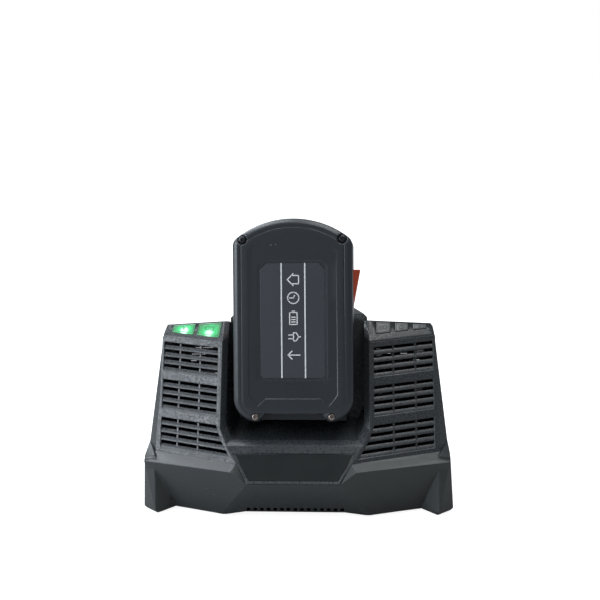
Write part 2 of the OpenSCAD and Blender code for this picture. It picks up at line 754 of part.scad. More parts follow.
module fan_frame()
    color("#1c1c1e")
        translate(fan_at)
            difference() {
                union() {
                    difference() {
                        translate([-fan_w / 2, 0, -fan_w / 2]) cube([fan_w, fan_t - 0.05, fan_w]);
                        translate([0, -1, 0]) rotate([-90, 0, 0]) cylinder(r = fan_bore_r, h = fan_t + 2);
                    }
                    translate([0, 0.1, 0]) rotate([-90, 0, 0]) cylinder(r = fan_hub_r, h = 1.6);
                    for (a = [45:90:315])
                        rotate([0, a, 0]) translate([fan_hub_r - 1, 0.1, -1])
                            cube([fan_bore_r - fan_hub_r + 2, 1.6, 2]);
                }
                translate([0, -1, 0]) rotate([-90, 0, 0]) cylinder(r = 1.55, h = 5);
                for (sx = [-1, 1], sz = [-1, 1])
                    translate([sx * fan_hole, -1, sz * fan_hole]) rotate([-90, 0, 0])
                        cylinder(r = 1.6, h = fan_t + 2);
            }
module fan_rotor()
    color("#303236")
        translate(fan_at) {
            translate([0, 0.3, 0]) rotate([-90, 0, 0]) cylinder(r = 1.5, h = 4);
            translate([0, 2.2, 0]) rotate([-90, 0, 0]) cylinder(r = fan_hub_r, h = 6.8);
            for (a = [0:360 / 7:359])
                rotate([0, a, 0])
                    translate([(fan_hub_r + fan_bore_r - 1) / 2 - 0.2, 5.6, 0])
                        rotate([38, 0, 0]) cube([fan_bore_r - fan_hub_r - 0.4, 1, 7.6], center = true);
        }
module fan_screws()
    color("#b0b3b6")
        for (sx = [-1, 1], sz = [-1, 1])
            translate([fan_at.x + sx * fan_hole, fan_at.y - 1.6, fan_at.z + sz * fan_hole])
                rotate([-90, 0, 0]) {
                    cylinder(r = 2.8, h = 1.55);
                    cylinder(r = 1.2, h = fan_t + 6);
                }

// Contacts that the pack slides onto
blade_xs = [-14, -7, 0, 7, 14];
blade_t = 0.8;
blade_y0 = pack_head_t - 7;
blade_d = 4.4;
blade_top = 30;
module contact_block()
    color("#35383c")
        in_pack_frame()
            difference() {
                translate([-block_half, blade_y0 - 1.5, block_z0])
                    cube([2 * block_half, 14.5, block_z1 - block_z0]);
                for (x = blade_xs)
                    translate([x - blade_t / 2 - 0.03, blade_y0 - 0.03, block_z1 - 8.05])
                        cube([blade_t + 0.06, blade_d + 0.06, 9]);
            }
module contact_blades()
    color("#d8c27a")
        in_pack_frame()
            for (x = blade_xs)
                translate([x - blade_t / 2, blade_y0, block_z1 - 8])
                    cube([blade_t, blade_d, blade_top - block_z1 + 8]);
leads_end = pack_origin + (blade_y0 + 13.1) * depth_axis + 9 * slide_axis;
module output_leads()
    color("#b02020")
        for (x = [-1.5, 4.5])
            tube([[x, leads_end.y + 7.5, board_top + 0.1], [x, leads_end.y + 7.5, board_top + 1],
                [x, leads_end.y + 7.5, board_top + 14],
                [x, leads_end.y + 7.5, leads_end.z - 9], [x, leads_end.y + 6.8, leads_end.z - 4.5],
                leads_end + [x, 0, 0] + 3.5 * depth_axis, leads_end + [x, 0, 0] + 1 * depth_axis,
                leads_end + [x, 0, 0]], 2.6, 8, [1, 0, 0]);
gland_y = lower_rear.y - tan(5) * (lower_rear.z - gland_z);
gland_in_y = gland_y - wall - 2.7;
module mains_lead_inside()
    color("#151515")
        tube([[gland_x, gland_in_y, gland_z], [gland_x, gland_in_y - 1, gland_z],
            [gland_x, gland_in_y - 4, gland_z + 0.7], [gland_x, gland_in_y - 7, gland_z + 3],
            [gland_x, gland_in_y - 10, gland_z + 5.2], [gland_x, terminal_at.y + 11, gland_z + 5.6],
            [gland_x, terminal_at.y + 10.1, gland_z + 5.6]], 5, 8, [1, 0, 0]);
gland_len = 28;
module strain_relief()
    color("#151515")
        translate([gland_x, 0, gland_z]) rotate([-90, 0, 0]) {
            translate([0, 0, gland_in_y + 0.05]) cylinder(r = 5.5, h = 2);
            translate([0, 0, gland_in_y + 1]) cylinder(r = gland_hole_r - 0.1, h = gland_y + 1 - gland_in_y);
            translate([0, 0, gland_y + 0.6]) cylinder(r1 = 5.2, r2 = 3.4, h = gland_len);
        }

// Mains lead: out of the back, down to the bench, seven turns in a coil, then the plug
coil_turn_r = 31;
coil_half_w = 11;
coil_h = 2 * lead_d;
tie_angle = 70;
tie_w = 6;
tie_t = 0.8;
lead_r = lead_d / 2;
lead_start_y = gland_y + 0.6 + gland_len;
coil_at = [gland_x + coil_turn_r + 8.25, lead_start_y + 37];
lead_route = [
    [0, 0.1, 14], [0, 1, 14], [0, 3.5, 13.8], [0, 7, 12.9], [0, 11, 11.3], [0, 15, 9.2],
    [0, 19, 7.2], [0, 23, 5.4],
    [0, 27, 4], [0, 31, 3.1], [0, 36, 2.75]];
tail_bend_r = 23;
tail_zs = [7.9, 7.2, 6.3, 5.3, 4.3, 3.6, 3.4, 4.2, 6.2, 9.2, 12.6, 15.6, 18];
tail_route = concat(
    [[2.75, 0, 8.25], [2.75, 4, 8.2]],
    [for (i = [0:12])
        [2.75 - tail_bend_r + tail_bend_r * cos(15 * i), 8 + tail_bend_r * sin(15 * i), tail_zs[i]]],
    [[2.75 - 2 * tail_bend_r, 3, 18.9], [2.75 - 2 * tail_bend_r, -1, 19],
        [2.75 - 2 * tail_bend_r, -3, 19]]);
tail_at = [gland_x, coil_at.y, 0];
module mains_lead()
    color("#101010")
        tube([for (p = lead_route) [gland_x + p.x, lead_start_y + p.y, p.z]], lead_d, 10, [1, 0, 0]);
module mains_lead_coil()
    color("#101010")
        translate([coil_at.x, coil_at.y, 0])
            difference() {
                rotate_extrude($fn = 96)
                    translate([coil_turn_r - coil_half_w, 0]) square([2 * coil_half_w, coil_h]);
                rotate([0, 0, tie_angle])
                    translate([coil_turn_r - coil_half_w - 2, -tie_w / 2 - 0.2, -1])
                        cube([2 * coil_half_w + 4, tie_w + 0.4, 1 + tie_t + 0.05]);
            }
module mains_lead_tail()
    color("#101010") tube([for (p = tail_route) tail_at + p], lead_d, 10);
plug_end = tail_at + tail_route[len(tail_route) - 1];
module plug_body()
    color("#101010")
        translate([plug_end.x, plug_end.y - 0.1, plug_d / 2]) rotate([90, 0, 0]) {
            cylinder(r1 = 4, r2 = 6.5, h = 14);
            translate([0, 0, 13.9]) cylinder(r1 = 9, r2 = plug_d / 2, h = 7);
            translate([0, 0, 20.8]) cylinder(r = plug_d / 2, h = 18);
        }
module plug_pins()
    color("#d0d2d4")
        for (sx = [-1, 1])
            translate([plug_end.x + sx * 9.5, plug_end.y - 38.95, plug_d / 2]) rotate([90, 0, 0]) {
                cylinder(r = 2.4, h = 17);
                translate([0, 0, 16.9]) cylinder(r1 = 2.4, r2 = 1.4, h = 2);
            }
module coil_tie()
    color("#303030")
        translate([coil_at.x, coil_at.y, 0])
            rotate([0, 0, tie_angle])
                translate([coil_turn_r, 0, 0])
                    difference() {
                        translate([-coil_half_w - 1.3, -tie_w / 2, 0])
                            cube([2 * coil_half_w + 2.3, tie_w, coil_h + 1]);
                        translate([-coil_half_w - 0.5, -tie_w, tie_t])
                            cube([2 * coil_half_w + 0.7, 2 * tie_w, coil_h + 0.1 - tie_t]);
                    }

// Battery pack, in its own frame
pack_half = pack_w / 2;
cell_r = cell_d / 2;
cell_y = pack_wall + 0.8 + cell_r;
cells_back_y = cell_y + cell_r;
arch_r = 58.5;
foot_r = 15;
shoulder_r = 7;
lobe_half = pack_half - 16;
arch_centre = [0, pack_len - arch_r];
shoulder_rise = sqrt(pow(arch_r - shoulder_r, 2) - pow(pack_half - shoulder_r, 2));
shoulder_end = atan2(shoulder_rise, pack_half - shoulder_r);
function arc(centre, r, a0, a1, n) =
    [for (i = [0:n]) centre + r * [cos(lerp(a0, a1, i / n)), sin(lerp(a0, a1, i / n))]];
// Half of the outline, from the foot's inner edge up to the middle of the arch
function half_outline(inset) = concat(
    arc([pack_half - foot_r, foot_r], foot_r - inset, -90, 0, 8),
    arc(arch_centre + [pack_half - shoulder_r, shoulder_rise], shoulder_r - inset, 0, shoulder_end, 4),
    arc(arch_centre, arch_r - inset, shoulder_end + 3, 90, 11));
function flip(points) = [for (i = [len(points) - 1:-1:0]) [-points[i].x, points[i].y]];
function pack_outline(inset) = let (half = half_outline(inset))
    concat(half, flip([for (i = [0:len(half) - 2]) half[i]]));
module pack_prism(inset, y0, y1)
    translate([0, y1, 0]) rotate([90, 0, 0]) linear_extrude(y1 - y0) polygon(pack_outline(inset));
notch_half = lobe_half - 3.8;
notch_h = 5.5;
notch_d = 14;
lip_half = notch_half - 3.7;
lip_z = 3.9;
lip_y = 8;
module notch(grow, y1)
    translate([0, y1, 0]) rotate([90, 0, 0]) linear_extrude(y1 + 1)
        polygon([[-lobe_half - grow + 1, -1], [lobe_half + grow - 1, -1], [lobe_half + grow - 1, 0],
            [notch_half + grow, notch_h + grow], [-notch_half - grow, notch_h + grow],
            [-lobe_half - grow + 1, 0]]);
module notch_lip()
    translate([-lip_half, lip_y, lip_z]) cube([2 * lip_half, notch_d - lip_y + 0.1, notch_h + 0.5 - lip_z]);
pack_seam = cells_back_y + 0.8;
edge_round = 3;
upper_screws = [6.4 - pack_half, pack_half - 6.4];
lower_screws = [13.8 - pack_half, pack_half - 13.8];
upper_screw_z = pack_len - 13.3;
lower_screw_z = 3.3;
upper_well_t = 2.6;
upper_well_r = 3.2;
lower_well_t = 0.9;
lower_well_r = 2.5;
screw_shank_r = 1.4;
module at_upper_screws()
    for (x = upper_screws)
        translate([x, 0, upper_screw_z]) rotate([-90, 0, 0]) children();
module at_lower_screws()
    for (x = lower_screws)
        translate([x, 0, lower_screw_z]) rotate([-90, 0, 0]) children();
label_half = pack_half - 17.6;
label_z0 = 28;
label_z1 = pack_len - 28.3;
label_corner = 4;
module label_shape(grow, y0, y1)
    translate([0, y1, 0]) rotate([90, 0, 0]) linear_extrude(y1 - y0)
        let (h = label_half + grow, a = label_z0 - grow, b = label_z1 + grow, c = label_corner)
            polygon([[h, a + c], [h, b - c], [h - c, b], [c - h, b],
                [-h, b - c], [-h, a + c], [c - h, a], [h - c, a]]);
module pack_front_shell()
    color("#2a2d31")
        in_pack_frame()
            difference() {
                union() {
                    difference() {
                        hull() {
                            pack_prism(edge_round, 0, 1);
                            pack_prism(0, edge_round, pack_seam);
                        }
                        pack_prism(pack_wall, pack_wall, pack_seam + 1);
                    }
                    intersection() {
                        pack_prism(1, 1, pack_seam);
                        union() {
                            at_upper_screws() cylinder(r = 4, h = pack_seam);
                            at_lower_screws() cylinder(r = 3.6, h = pack_seam);
                            notch(pack_wall, notch_d + pack_wall);
                        }
                    }
                }
                difference() {
                    notch(0, notch_d);
                    notch_lip();
                }
                at_upper_screws() {
                    cylinder(r = screw_shank_r + 0.1, h = pack_seam + 2);
                    translate([0, 0, -1]) cylinder(r = upper_well_r, h = 1 + upper_well_t);
                }
                at_lower_screws() {
                    cylinder(r = screw_shank_r + 0.1, h = pack_seam + 2);
                    translate([0, 0, -1]) cylinder(r = lower_well_r, h = 1 + lower_well_t);
                }
                label_shape(1.9, -1, 0.35);
                label_shape(fit, -1, 0.9);
            }
module pack_label() color("#33363b") in_pack_frame() label_shape(0, 0.4, 0.88);
button_y0 = cells_back_y + 2.8;
button_y1 = button_y0 + 10;
button_z0 = pack_len - 55.7;
button_z1 = button_z0 + 23.5;
right_button_out = 4.6;
left_button_out = 3.2;
module button_window(side)
    translate([side > 0 ? pack_half - 4 : -pack_half - 4, button_y0 - 0.3, button_z0 - 0.3])
        cube([8, button_y1 - button_y0 + 0.6, button_z1 - button_z0 + 0.6]);
head_half = head_w / 2;
head_len = pack_len - 32.7;
head_flange_y = pack_body_t + head_t - 6;
module rail_head() {
    translate([-head_half, head_flange_y, 0]) cube([head_w, 6, head_len]);
    translate([-head_half + neck_cut, pack_body_t - 1, 0])
        cube([head_w - 2 * neck_cut, head_t, head_len]);
}
module rail_head_hollow()
    translate([-head_half + neck_cut + pack_wall, pack_body_t - pack_wall - 1, pack_wall])
        cube([head_w - 2 * (neck_cut + pack_wall), head_t + 1, head_len - 2 * pack_wall]);
terminal_half = block_half + 1;
terminal_z0 = 20.9;
terminal_z1 = 35;
recess_y = blade_y0 - 2.4;
module pack_rear_shell()
    color("#26292c")
        in_pack_frame()
            difference() {
                union() {
                    pack_prism(0, pack_seam + 0.05, pack_body_t);
                    rail_head();
                }
                difference() {
                    union() {
                        pack_prism(pack_wall, pack_seam - 1, pack_body_t - pack_wall);
                        rail_head_hollow();
                    }
                    intersection() {
                        pack_prism(1, pack_seam, pack_body_t);
                        union() {
                            at_upper_screws() cylinder(r = 3.6, h = pack_body_t);
                            at_lower_screws() cylinder(r = 3.6, h = pack_body_t);
                        }
                    }
                    translate([-head_half, recess_y - 2.6, -1]) cube([head_w, 30, terminal_z1 + 3]);
                }
                translate([-terminal_half - 1, recess_y, -1])
                    cube([2 * terminal_half + 2, 30, terminal_z0 + 0.9]);
                translate([-terminal_half - 0.1, recess_y - 5, terminal_z0 - 0.1])
                    cube([2 * terminal_half + 0.2, pack_head_t - pack_wall - recess_y + 5,
                        terminal_z1 - terminal_z0 + 0.2]);
                button_window(1);
                button_window(-1);
                at_upper_screws() translate([0, 0, pack_seam - 1]) cylinder(r = screw_shank_r + 0.05, h = 9);
                at_lower_screws() translate([0, 0, pack_seam - 1]) cylinder(r = screw_shank_r + 0.05, h = 9);
            }
module pack_screw_shape(well_t, head_r)
    difference() {
        union() {
            translate([0, 0, well_t - 1.25]) cylinder(r = head_r, h = 1.2);
            translate([0, 0, well_t - 0.1]) cylinder(r = screw_shank_r, h = pack_seam + 7 - well_t);
        }
        translate([-head_r * 0.6, -0.3, well_t - 2]) cube([head_r * 1.2, 0.6, 1.4]);
        translate([-0.3, -head_r * 0.6, well_t - 2]) cube([0.6, head_r * 1.2, 1.4]);
    }
module pack_screws_upper()
    color("#2b2b2d") in_pack_frame() at_upper_screws() pack_screw_shape(upper_well_t, 2.6);
module pack_screws_lower()
    color("#b08d57") in_pack_frame() at_lower_screws() pack_screw_shape(lower_well_t, 2.4);
function cell_z(i) = pack_foot_room + cell_r + (i - 1) * cell_pitch;
module cell(i)
    color("#3f8fd0")
        if (i <= cell_count)
            in_pack_frame()
                translate([-cell_len / 2, cell_y, cell_z(i)]) rotate([0, 90, 0]) {
                    cylinder(r = cell_r, h = cell_len - 0.8);
                    translate([0, 0, cell_len - 0.85]) cylinder(r = 3, h = 0.85);
                }
holder_z0 = lower_screw_z + 5.1;
holder_z1 = cell_z(cell_count) + cell_r + 1.5;
holder_x0 = cell_len / 2 - 12;
holder_x1 = cell_len / 2 - 3;
module cell_holder()
    color("#d9d9d2")
        in_pack_frame()
            difference() {
                union() {
                    both_sides()
                        translate([holder_x0, pack_wall + 0.1, holder_z0])
                            cube([holder_x1 - holder_x0, cell_d + 1.6, holder_z1 - holder_z0]);
                    for (z = [holder_z0, holder_z1 - 1.4])
                        translate([-holder_x1, cell_y - 4, z]) cube([2 * holder_x1, 8, 1.4]);
                    both_sides()
                        translate([holder_x0 + 1, cells_back_y, (button_z0 + button_z1) / 2 - 4])
                            cube([3, button_y1 - cells_back_y, 8]);
                }
                for (i = [1:cell_count])
                    translate([-50, cell_y, cell_z(i)]) rotate([0, 90, 0])
                        cylinder(r = cell_r + 0.05, h = 100);
            }
module cell_links()
    color("#c9ccd0")
        in_pack_frame()
            for (i = [1:cell_count - 1])
                translate([i % 2 == 0 ? cell_len / 2 + 0.02 : -cell_len / 2 - 0.32,
                    cell_y - 3.5, cell_z(i) - 3])
                    cube([0.3, 7, cell_pitch + 6]);
pack_board_y = cells_back_y + 1.6;
module pack_board()
    color("#1f6b3c")
        in_pack_frame() translate([-18, pack_board_y, 20]) cube([36, 1.6, pack_len - 68.7]);
module pack_terminal_block()
    color("#3a3d42")
        in_pack_frame()
            difference() {
                union() {
                    translate([-terminal_half, recess_y - 4, terminal_z0])
                        cube([2 * terminal_half, pack_head_t - pack_wall - recess_y + 3.95,
                            terminal_z1 - terminal_z0]);
                    translate([-15, pack_board_y + 1.65, terminal_z0 + 1])
                        cube([30, recess_y - pack_board_y - 2, terminal_z1 - terminal_z0 - 2]);
                }
                for (x = blade_xs)
                    translate([x - blade_t / 2 - 0.5, blade_y0 - 0.5, terminal_z0 - 1])
                        cube([blade_t + 1, 10, blade_top + 2.5 - terminal_z0]);
            }
// Wedge-shaped release buttons with a flange that keeps them in the shell
button_flange_x = pack_half - pack_wall - 0.2;
module release_button(out)
    in_pack_frame() {
        translate([0, button_y1, 0]) rotate([90, 0, 0]) linear_extrude(button_y1 - button_y0)
            polygon([[button_flange_x - 1.5, button_z0], [pack_half + 0.1, button_z0],
                [pack_half + out, button_z1], [button_flange_x - 1.5, button_z1]]);
        translate([button_flange_x - 1.7, button_y0 - 0.6, button_z0 - 2.5])
            cube([1.7, button_y1 - button_y0 + 1.2, button_z1 - button_z0 + 5]);
    }
module right_release_button() color("#d8371c") release_button(right_button_out);
module left_release_button() color("#d8371c") mirror([1, 0, 0]) release_button(left_button_out);
spring_r = 2.6;
spring_y = (button_y0 + button_y1) / 2;
spring_z = (button_z0 + button_z1) / 2;
module button_spring()
    in_pack_frame()
        translate([holder_x0 + 4.05, spring_y, spring_z])
            rotate([0, 90, 0])
                difference() {
                    cylinder(r = spring_r, h = button_flange_x - 1.75 - holder_x0 - 4.05);
                    translate([0, 0, -1]) cylinder(r = spring_r - 0.8, h = 30);
                }
module right_button_spring() color("#9a9da0") button_spring();
module left_button_spring() color("#9a9da0") mirror([1, 0, 0]) button_spring();

lower_casing();
upper_housing();
left_vent_panel();
right_vent_panel();
bib_plate();
lens_left_inner();
lens_left_outer();
lens_right_inner();
lens_right_middle();
lens_right_outer();
left_indicator_board();
right_indicator_board();
foot_pad(1);  // foot_pad_1
foot_pad(2);  // foot_pad_2
foot_pad(3);  // foot_pad_3
foot_pad(4);  // foot_pad_4
housing_screws();
main_board();
board_screws();
transformer_core();
transformer_winding();
heat_sink();
bulk_capacitor();
output_capacitors();
line_choke();
fuse();
mains_terminal();
fan_frame();
fan_rotor();
fan_screws();
contact_block();
contact_blades();
output_leads();
mains_lead_inside();
strain_relief();
mains_lead();
mains_lead_coil();
mains_lead_tail();
plug_body();
plug_pins();
coil_tie();
pack_front_shell();
pack_rear_shell();
pack_label();
cell(1);  // cell_1
cell(2);  // cell_2
cell(3);  // cell_3
cell(4);  // cell_4
cell(5);  // cell_5
cell_holder();
cell_links();
pack_board();
pack_terminal_block();
pack_screws_upper();
pack_screws_lower();
left_release_button();
right_release_button();
left_button_spring();
right_button_spring();
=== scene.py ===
"""Looks of the bench charger with its docked battery pack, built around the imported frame."""

import json
import math

import bmesh
import bpy
from mathutils import Matrix, Vector
from mathutils.bvhtree import BVHTree
from mathutils.geometry import delaunay_2d_cdt

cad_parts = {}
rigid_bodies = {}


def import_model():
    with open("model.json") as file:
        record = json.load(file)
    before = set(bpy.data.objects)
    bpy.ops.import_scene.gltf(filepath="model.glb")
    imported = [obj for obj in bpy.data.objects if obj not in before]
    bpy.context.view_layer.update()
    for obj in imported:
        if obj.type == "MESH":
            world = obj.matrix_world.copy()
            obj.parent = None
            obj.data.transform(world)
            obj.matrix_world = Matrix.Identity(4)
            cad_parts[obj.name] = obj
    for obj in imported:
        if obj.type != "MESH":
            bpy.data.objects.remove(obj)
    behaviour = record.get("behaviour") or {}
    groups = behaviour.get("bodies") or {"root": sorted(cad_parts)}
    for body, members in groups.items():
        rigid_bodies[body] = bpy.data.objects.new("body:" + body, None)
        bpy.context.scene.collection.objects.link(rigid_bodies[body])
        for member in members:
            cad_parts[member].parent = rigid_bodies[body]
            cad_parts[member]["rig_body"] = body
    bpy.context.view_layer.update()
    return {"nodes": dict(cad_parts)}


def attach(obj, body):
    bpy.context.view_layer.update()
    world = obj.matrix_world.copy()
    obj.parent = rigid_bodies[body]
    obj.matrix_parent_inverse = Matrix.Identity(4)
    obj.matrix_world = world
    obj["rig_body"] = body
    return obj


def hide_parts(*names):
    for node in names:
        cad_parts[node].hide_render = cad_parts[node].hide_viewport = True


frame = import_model()
NODES = frame["nodes"]
SCENE = bpy.context.scene
MM = 0.001


# -------- helpers
def rad(a):
    return math.radians(a)


def placed(name, data):
    obj = bpy.data.objects.new(name, data)
    SCENE.collection.objects.link(obj)
    return obj


def mesh_piece(name, points, faces, material=None):
    """A mesh object from points in millimetres, in the row frame."""
    mesh = bpy.data.meshes.new(name)
    mesh.from_pydata([Vector(p) * MM for p in points], [], faces)
    mesh.validate()
    mesh.update()
    obj = placed(name, mesh)
    if material is not None:
        mesh.materials.append(material)
    return obj


def smooth_by(obj, angle):
    mesh = obj.data
    mesh.polygons.foreach_set("use_smooth", [True] * len(mesh.polygons))
    mesh.set_sharp_from_angle(angle=rad(angle))


def applied(obj, modifier):
    """Applies one modifier and drops it."""
    bpy.context.view_layer.update()
    deps = bpy.context.evaluated_depsgraph_get()
    mesh = bpy.data.meshes.new_from_object(obj.evaluated_get(deps), preserve_all_data_layers=True,
                                           depsgraph=deps)
    old = obj.data
    obj.modifiers.remove(modifier)
    obj.data = mesh
    mesh.name = obj.name
    bpy.data.meshes.remove(old)


def cut_away(obj, cutter):
    """Takes the cutter's solid out of the object."""
    m = obj.modifiers.new("cut", "BOOLEAN")
    m.operation = "DIFFERENCE"
    m.solver = "EXACT"
    m.object = cutter
    applied(obj, m)
    bpy.data.objects.remove(cutter)


def bevelled(obj, width):
    """Rounds the edges that carry a bevel weight."""
    m = obj.modifiers.new("edge", "BEVEL")
    m.width = width * MM
    m.segments = 3
    m.limit_method = "WEIGHT"
    m.use_clamp_overlap = False
    m.loop_slide = False
    m.harden_normals = False
    applied(obj, m)


def weighted(obj):
    """Keeps the large faces flat and leaves the turn to the narrow ones."""
    m = obj.modifiers.new("even", "WEIGHTED_NORMAL")
    m.mode = "FACE_AREA"
    m.weight = 100
    m.keep_sharp = True
    applied(obj, m)


def join(name, objs):
    """Joins meshes into the first and names it."""
    bm = bmesh.new()
    mats = []
    for o in objs:
        for m in o.data.materials:
            if m not in mats:
                mats.append(m)
    for o in objs:
        start = len(bm.faces)
        bm.from_mesh(o.data)
        bm.faces.ensure_lookup_table()
        for f in bm.faces[start:]:
            f.material_index = mats.index(o.data.materials[f.material_index]) if o.data.materials else 0
    mesh = bpy.data.meshes.new(name)
    bm.to_mesh(mesh)
    bm.free()
    for m in mats:
        mesh.materials.append(m)
    for o in objs:
        bpy.data.objects.remove(o)
    return placed(name, mesh)


# -------- shapes in two dimensions
def inset_loop(loop, d):
    """A convex counter-clockwise loop moved inwards by d (outwards where d is negative)."""
    out = []
    n = len(loop)
    for i in range(n):
        p0, p1, p2 = Vector(loop[i - 1]), Vector(loop[i]), Vector(loop[(i + 1) % n])
        a, b = (p1 - p0).normalized(), (p2 - p1).normalized()
        na, nb = Vector((-a.y, a.x)), Vector((-b.y, b.x))
        m = na + nb
        out.append(tuple(p1 + m * (d / max(0.2, m.dot(na)))))
    return out


def rounded_loop(loop, radius, steps=4):
    """A counter-clockwise loop whose corners are rounded."""
    out = []
    n = len(loop)
    for i in range(n):
        p0, p1, p2 = Vector(loop[i - 1]), Vector(loop[i]), Vector(loop[(i + 1) % n])
        a, b = (p0 - p1), (p2 - p1)
        cut = min(radius, a.length * 0.45, b.length * 0.45)
        q0, q2 = p1 + a.normalized() * cut, p1 + b.normalized() * cut
        for k in range(steps + 1):
            t = k / steps
            out.append(tuple(q0.lerp(p1, t).lerp(p1.lerp(q2, t), t)))
    return out


def filled(loops):
    """Triangles that fill the first loop less the holes, as (points, faces)."""
    pts, edges = [], []
    for loop in loops:
        k = len(pts)
        pts += [Vector(p) for p in loop]
        edges += [(k + i, k + (i + 1) % len(loop)) for i in range(len(loop))]
    vs, _, faces, _, _, _ = delaunay_2d_cdt(pts, edges, [], 0, 1e-6)
    keep = []
    for f in faces:
        c = sum((vs[i] for i in f), Vector((0, 0))) / len(f)
        if inside(c, loops[0]) and not any(inside(c, h) for h in loops[1:]):
            keep.append(list(f))
    return [tuple(v) for v in vs], keep


def inside(p, loop):
    hit = False
    for i in range(len(loop)):
        (x0, y0), (x1, y1) = loop[i - 1], loop[i]
        if (y0 > p[1]) != (y1 > p[1]) and p[0] < (x1 - x0) * (p[1] - y0) / (y1 - y0) + x0:
            hit = not hit
    return hit


def ring_faces(n, rings, start=0):
    """Quads between rings of n points each, as faces of indices."""
    faces = []
    for k in range(rings - 1):
        a, b = start + k * n, start + (k + 1) * n
        faces += [[a + i, a + (i + 1) % n, b + (i + 1) % n, b + i] for i in range(n)]
    return faces


def outwards(obj, merge=None):
    """Turns the faces outwards, after joining points that are less than merge metres apart."""
    bm = bmesh.new()
    bm.from_mesh(obj.data)
    if merge:
        bmesh.ops.remove_doubles(bm, verts=bm.verts, dist=merge)
    bmesh.ops.recalc_face_normals(bm, faces=bm.faces)
    bm.to_mesh(obj.data)
    bm.free()


def turned(name, profile, centre, axis, material, count):
    """A solid of revolution: profile of (along, radius) about an axis through centre."""
    axis = Vector(axis).normalized()
    u = axis.orthogonal().normalized()
    v = axis.cross(u)
    pts = []
    for a, r in profile:
        for k in range(count):
            t = 2 * math.pi * k / count
            pts.append(Vector(centre) + axis * a + (u * math.cos(t) + v * math.sin(t)) * r)
    faces = ring_faces(count, len(profile))
    faces.append(list(range(count)))
    faces.append([(len(profile) - 1) * count + k for k in reversed(range(count))])
    obj = mesh_piece(name, pts, faces, material)
    outwards(obj)
    smooth_by(obj, 35)
    return obj


# -------- places
CASING_D, WING_H, LED_Z, SEAM_Z = 124.0, 119.8, 109.0, 39.5
FRONT_Y = -CASING_D / 2
BAY_W, MOUTH_BEVEL, BAY_FLOOR = 89.0, 3.5, 51.0
MOUTH_HALF = BAY_W / 2 + MOUTH_BEVEL
YAW, LEAN, LED_LEAN = rad(22.5), rad(24.2), rad(45)
CORNER = Vector((MOUTH_HALF, FRONT_Y + 47.008, LED_Z))
SIDE_X = 203 / 2 - 3
RIM_Z = BAY_FLOOR - 2.5
RIM_HALF = BAY_W / 2 - 1


def face_normal(yaw, lean):
    return Vector((math.sin(yaw) * math.cos(lean), -math.cos(yaw) * math.cos(lean), math.sin(lean)))


FRONT_N = face_normal(YAW, LEAN)
LED_N = face_normal(YAW, LED_LEAN)
ALONG = Vector((math.cos(YAW), math.sin(YAW), 0))
UP_SLOPE = LED_N.cross(ALONG)
FRONT_SLOPE = math.tan(LEAN) / math.cos(YAW)
PACK_LEAN = rad(12.5)
PACK_ORIGIN = Vector((0, FRONT_Y + 13.7, BAY_FLOOR + 14.0))
SLIDE = Vector((0, math.sin(PACK_LEAN), math.cos(PACK_LEAN)))
DEPTH = Vector((0, math.cos(PACK_LEAN), -math.sin(PACK_LEAN)))


def wing_point(x, z, depth=0.0):
    """A point of the right wing's slotted face at x, z, and that deep behind it."""
    y = CORNER.y + math.tan(YAW) * (x - CORNER.x) + FRONT_SLOPE * (z - CORNER.z)
    return Vector((x, y, z)) - depth * FRONT_N


def led_point(s, t, rise=0.0):
    return CORNER + s * ALONG + t * UP_SLOPE + rise * LED_N


def pack_point(x, y, z):
    return PACK_ORIGIN + Vector((x, 0, 0)) + y * DEPTH + z * SLIDE


def lerp(a, b, t):
    return a + (b - a) * t


def eased(t):
    """0 to 1 with a soft start and end."""
    t = max(0.0, min(1.0, t))
    return t * t * (3 - 2 * t)


# -------- camera
def make_camera():
    turn, pitch, roll = 0.077268, 0.22686, -0.024605
    ahead = Vector((-math.sin(turn) * math.cos(pitch), math.cos(turn) * math.cos(pitch), -math.sin(pitch)))
    right = Vector((math.cos(turn), math.sin(turn), 0))
    up = right.cross(ahead)
    r2 = right * math.cos(roll) + up * math.sin(roll)
    u2 = up * math.cos(roll) - right * math.sin(roll)
    data = bpy.data.cameras.new("camera")
    cam = placed("camera", data)
    data.sensor_width = 36
    data.lens = 60
    data.clip_start = 0.01
    data.clip_end = 20
    m = Matrix((r2, u2, -ahead)).transposed().to_4x4()
    m.translation = Vector((52.1888, -642.1138, 281.6808)) * MM
    cam.matrix_world = m
    SCENE.camera = cam


make_camera()


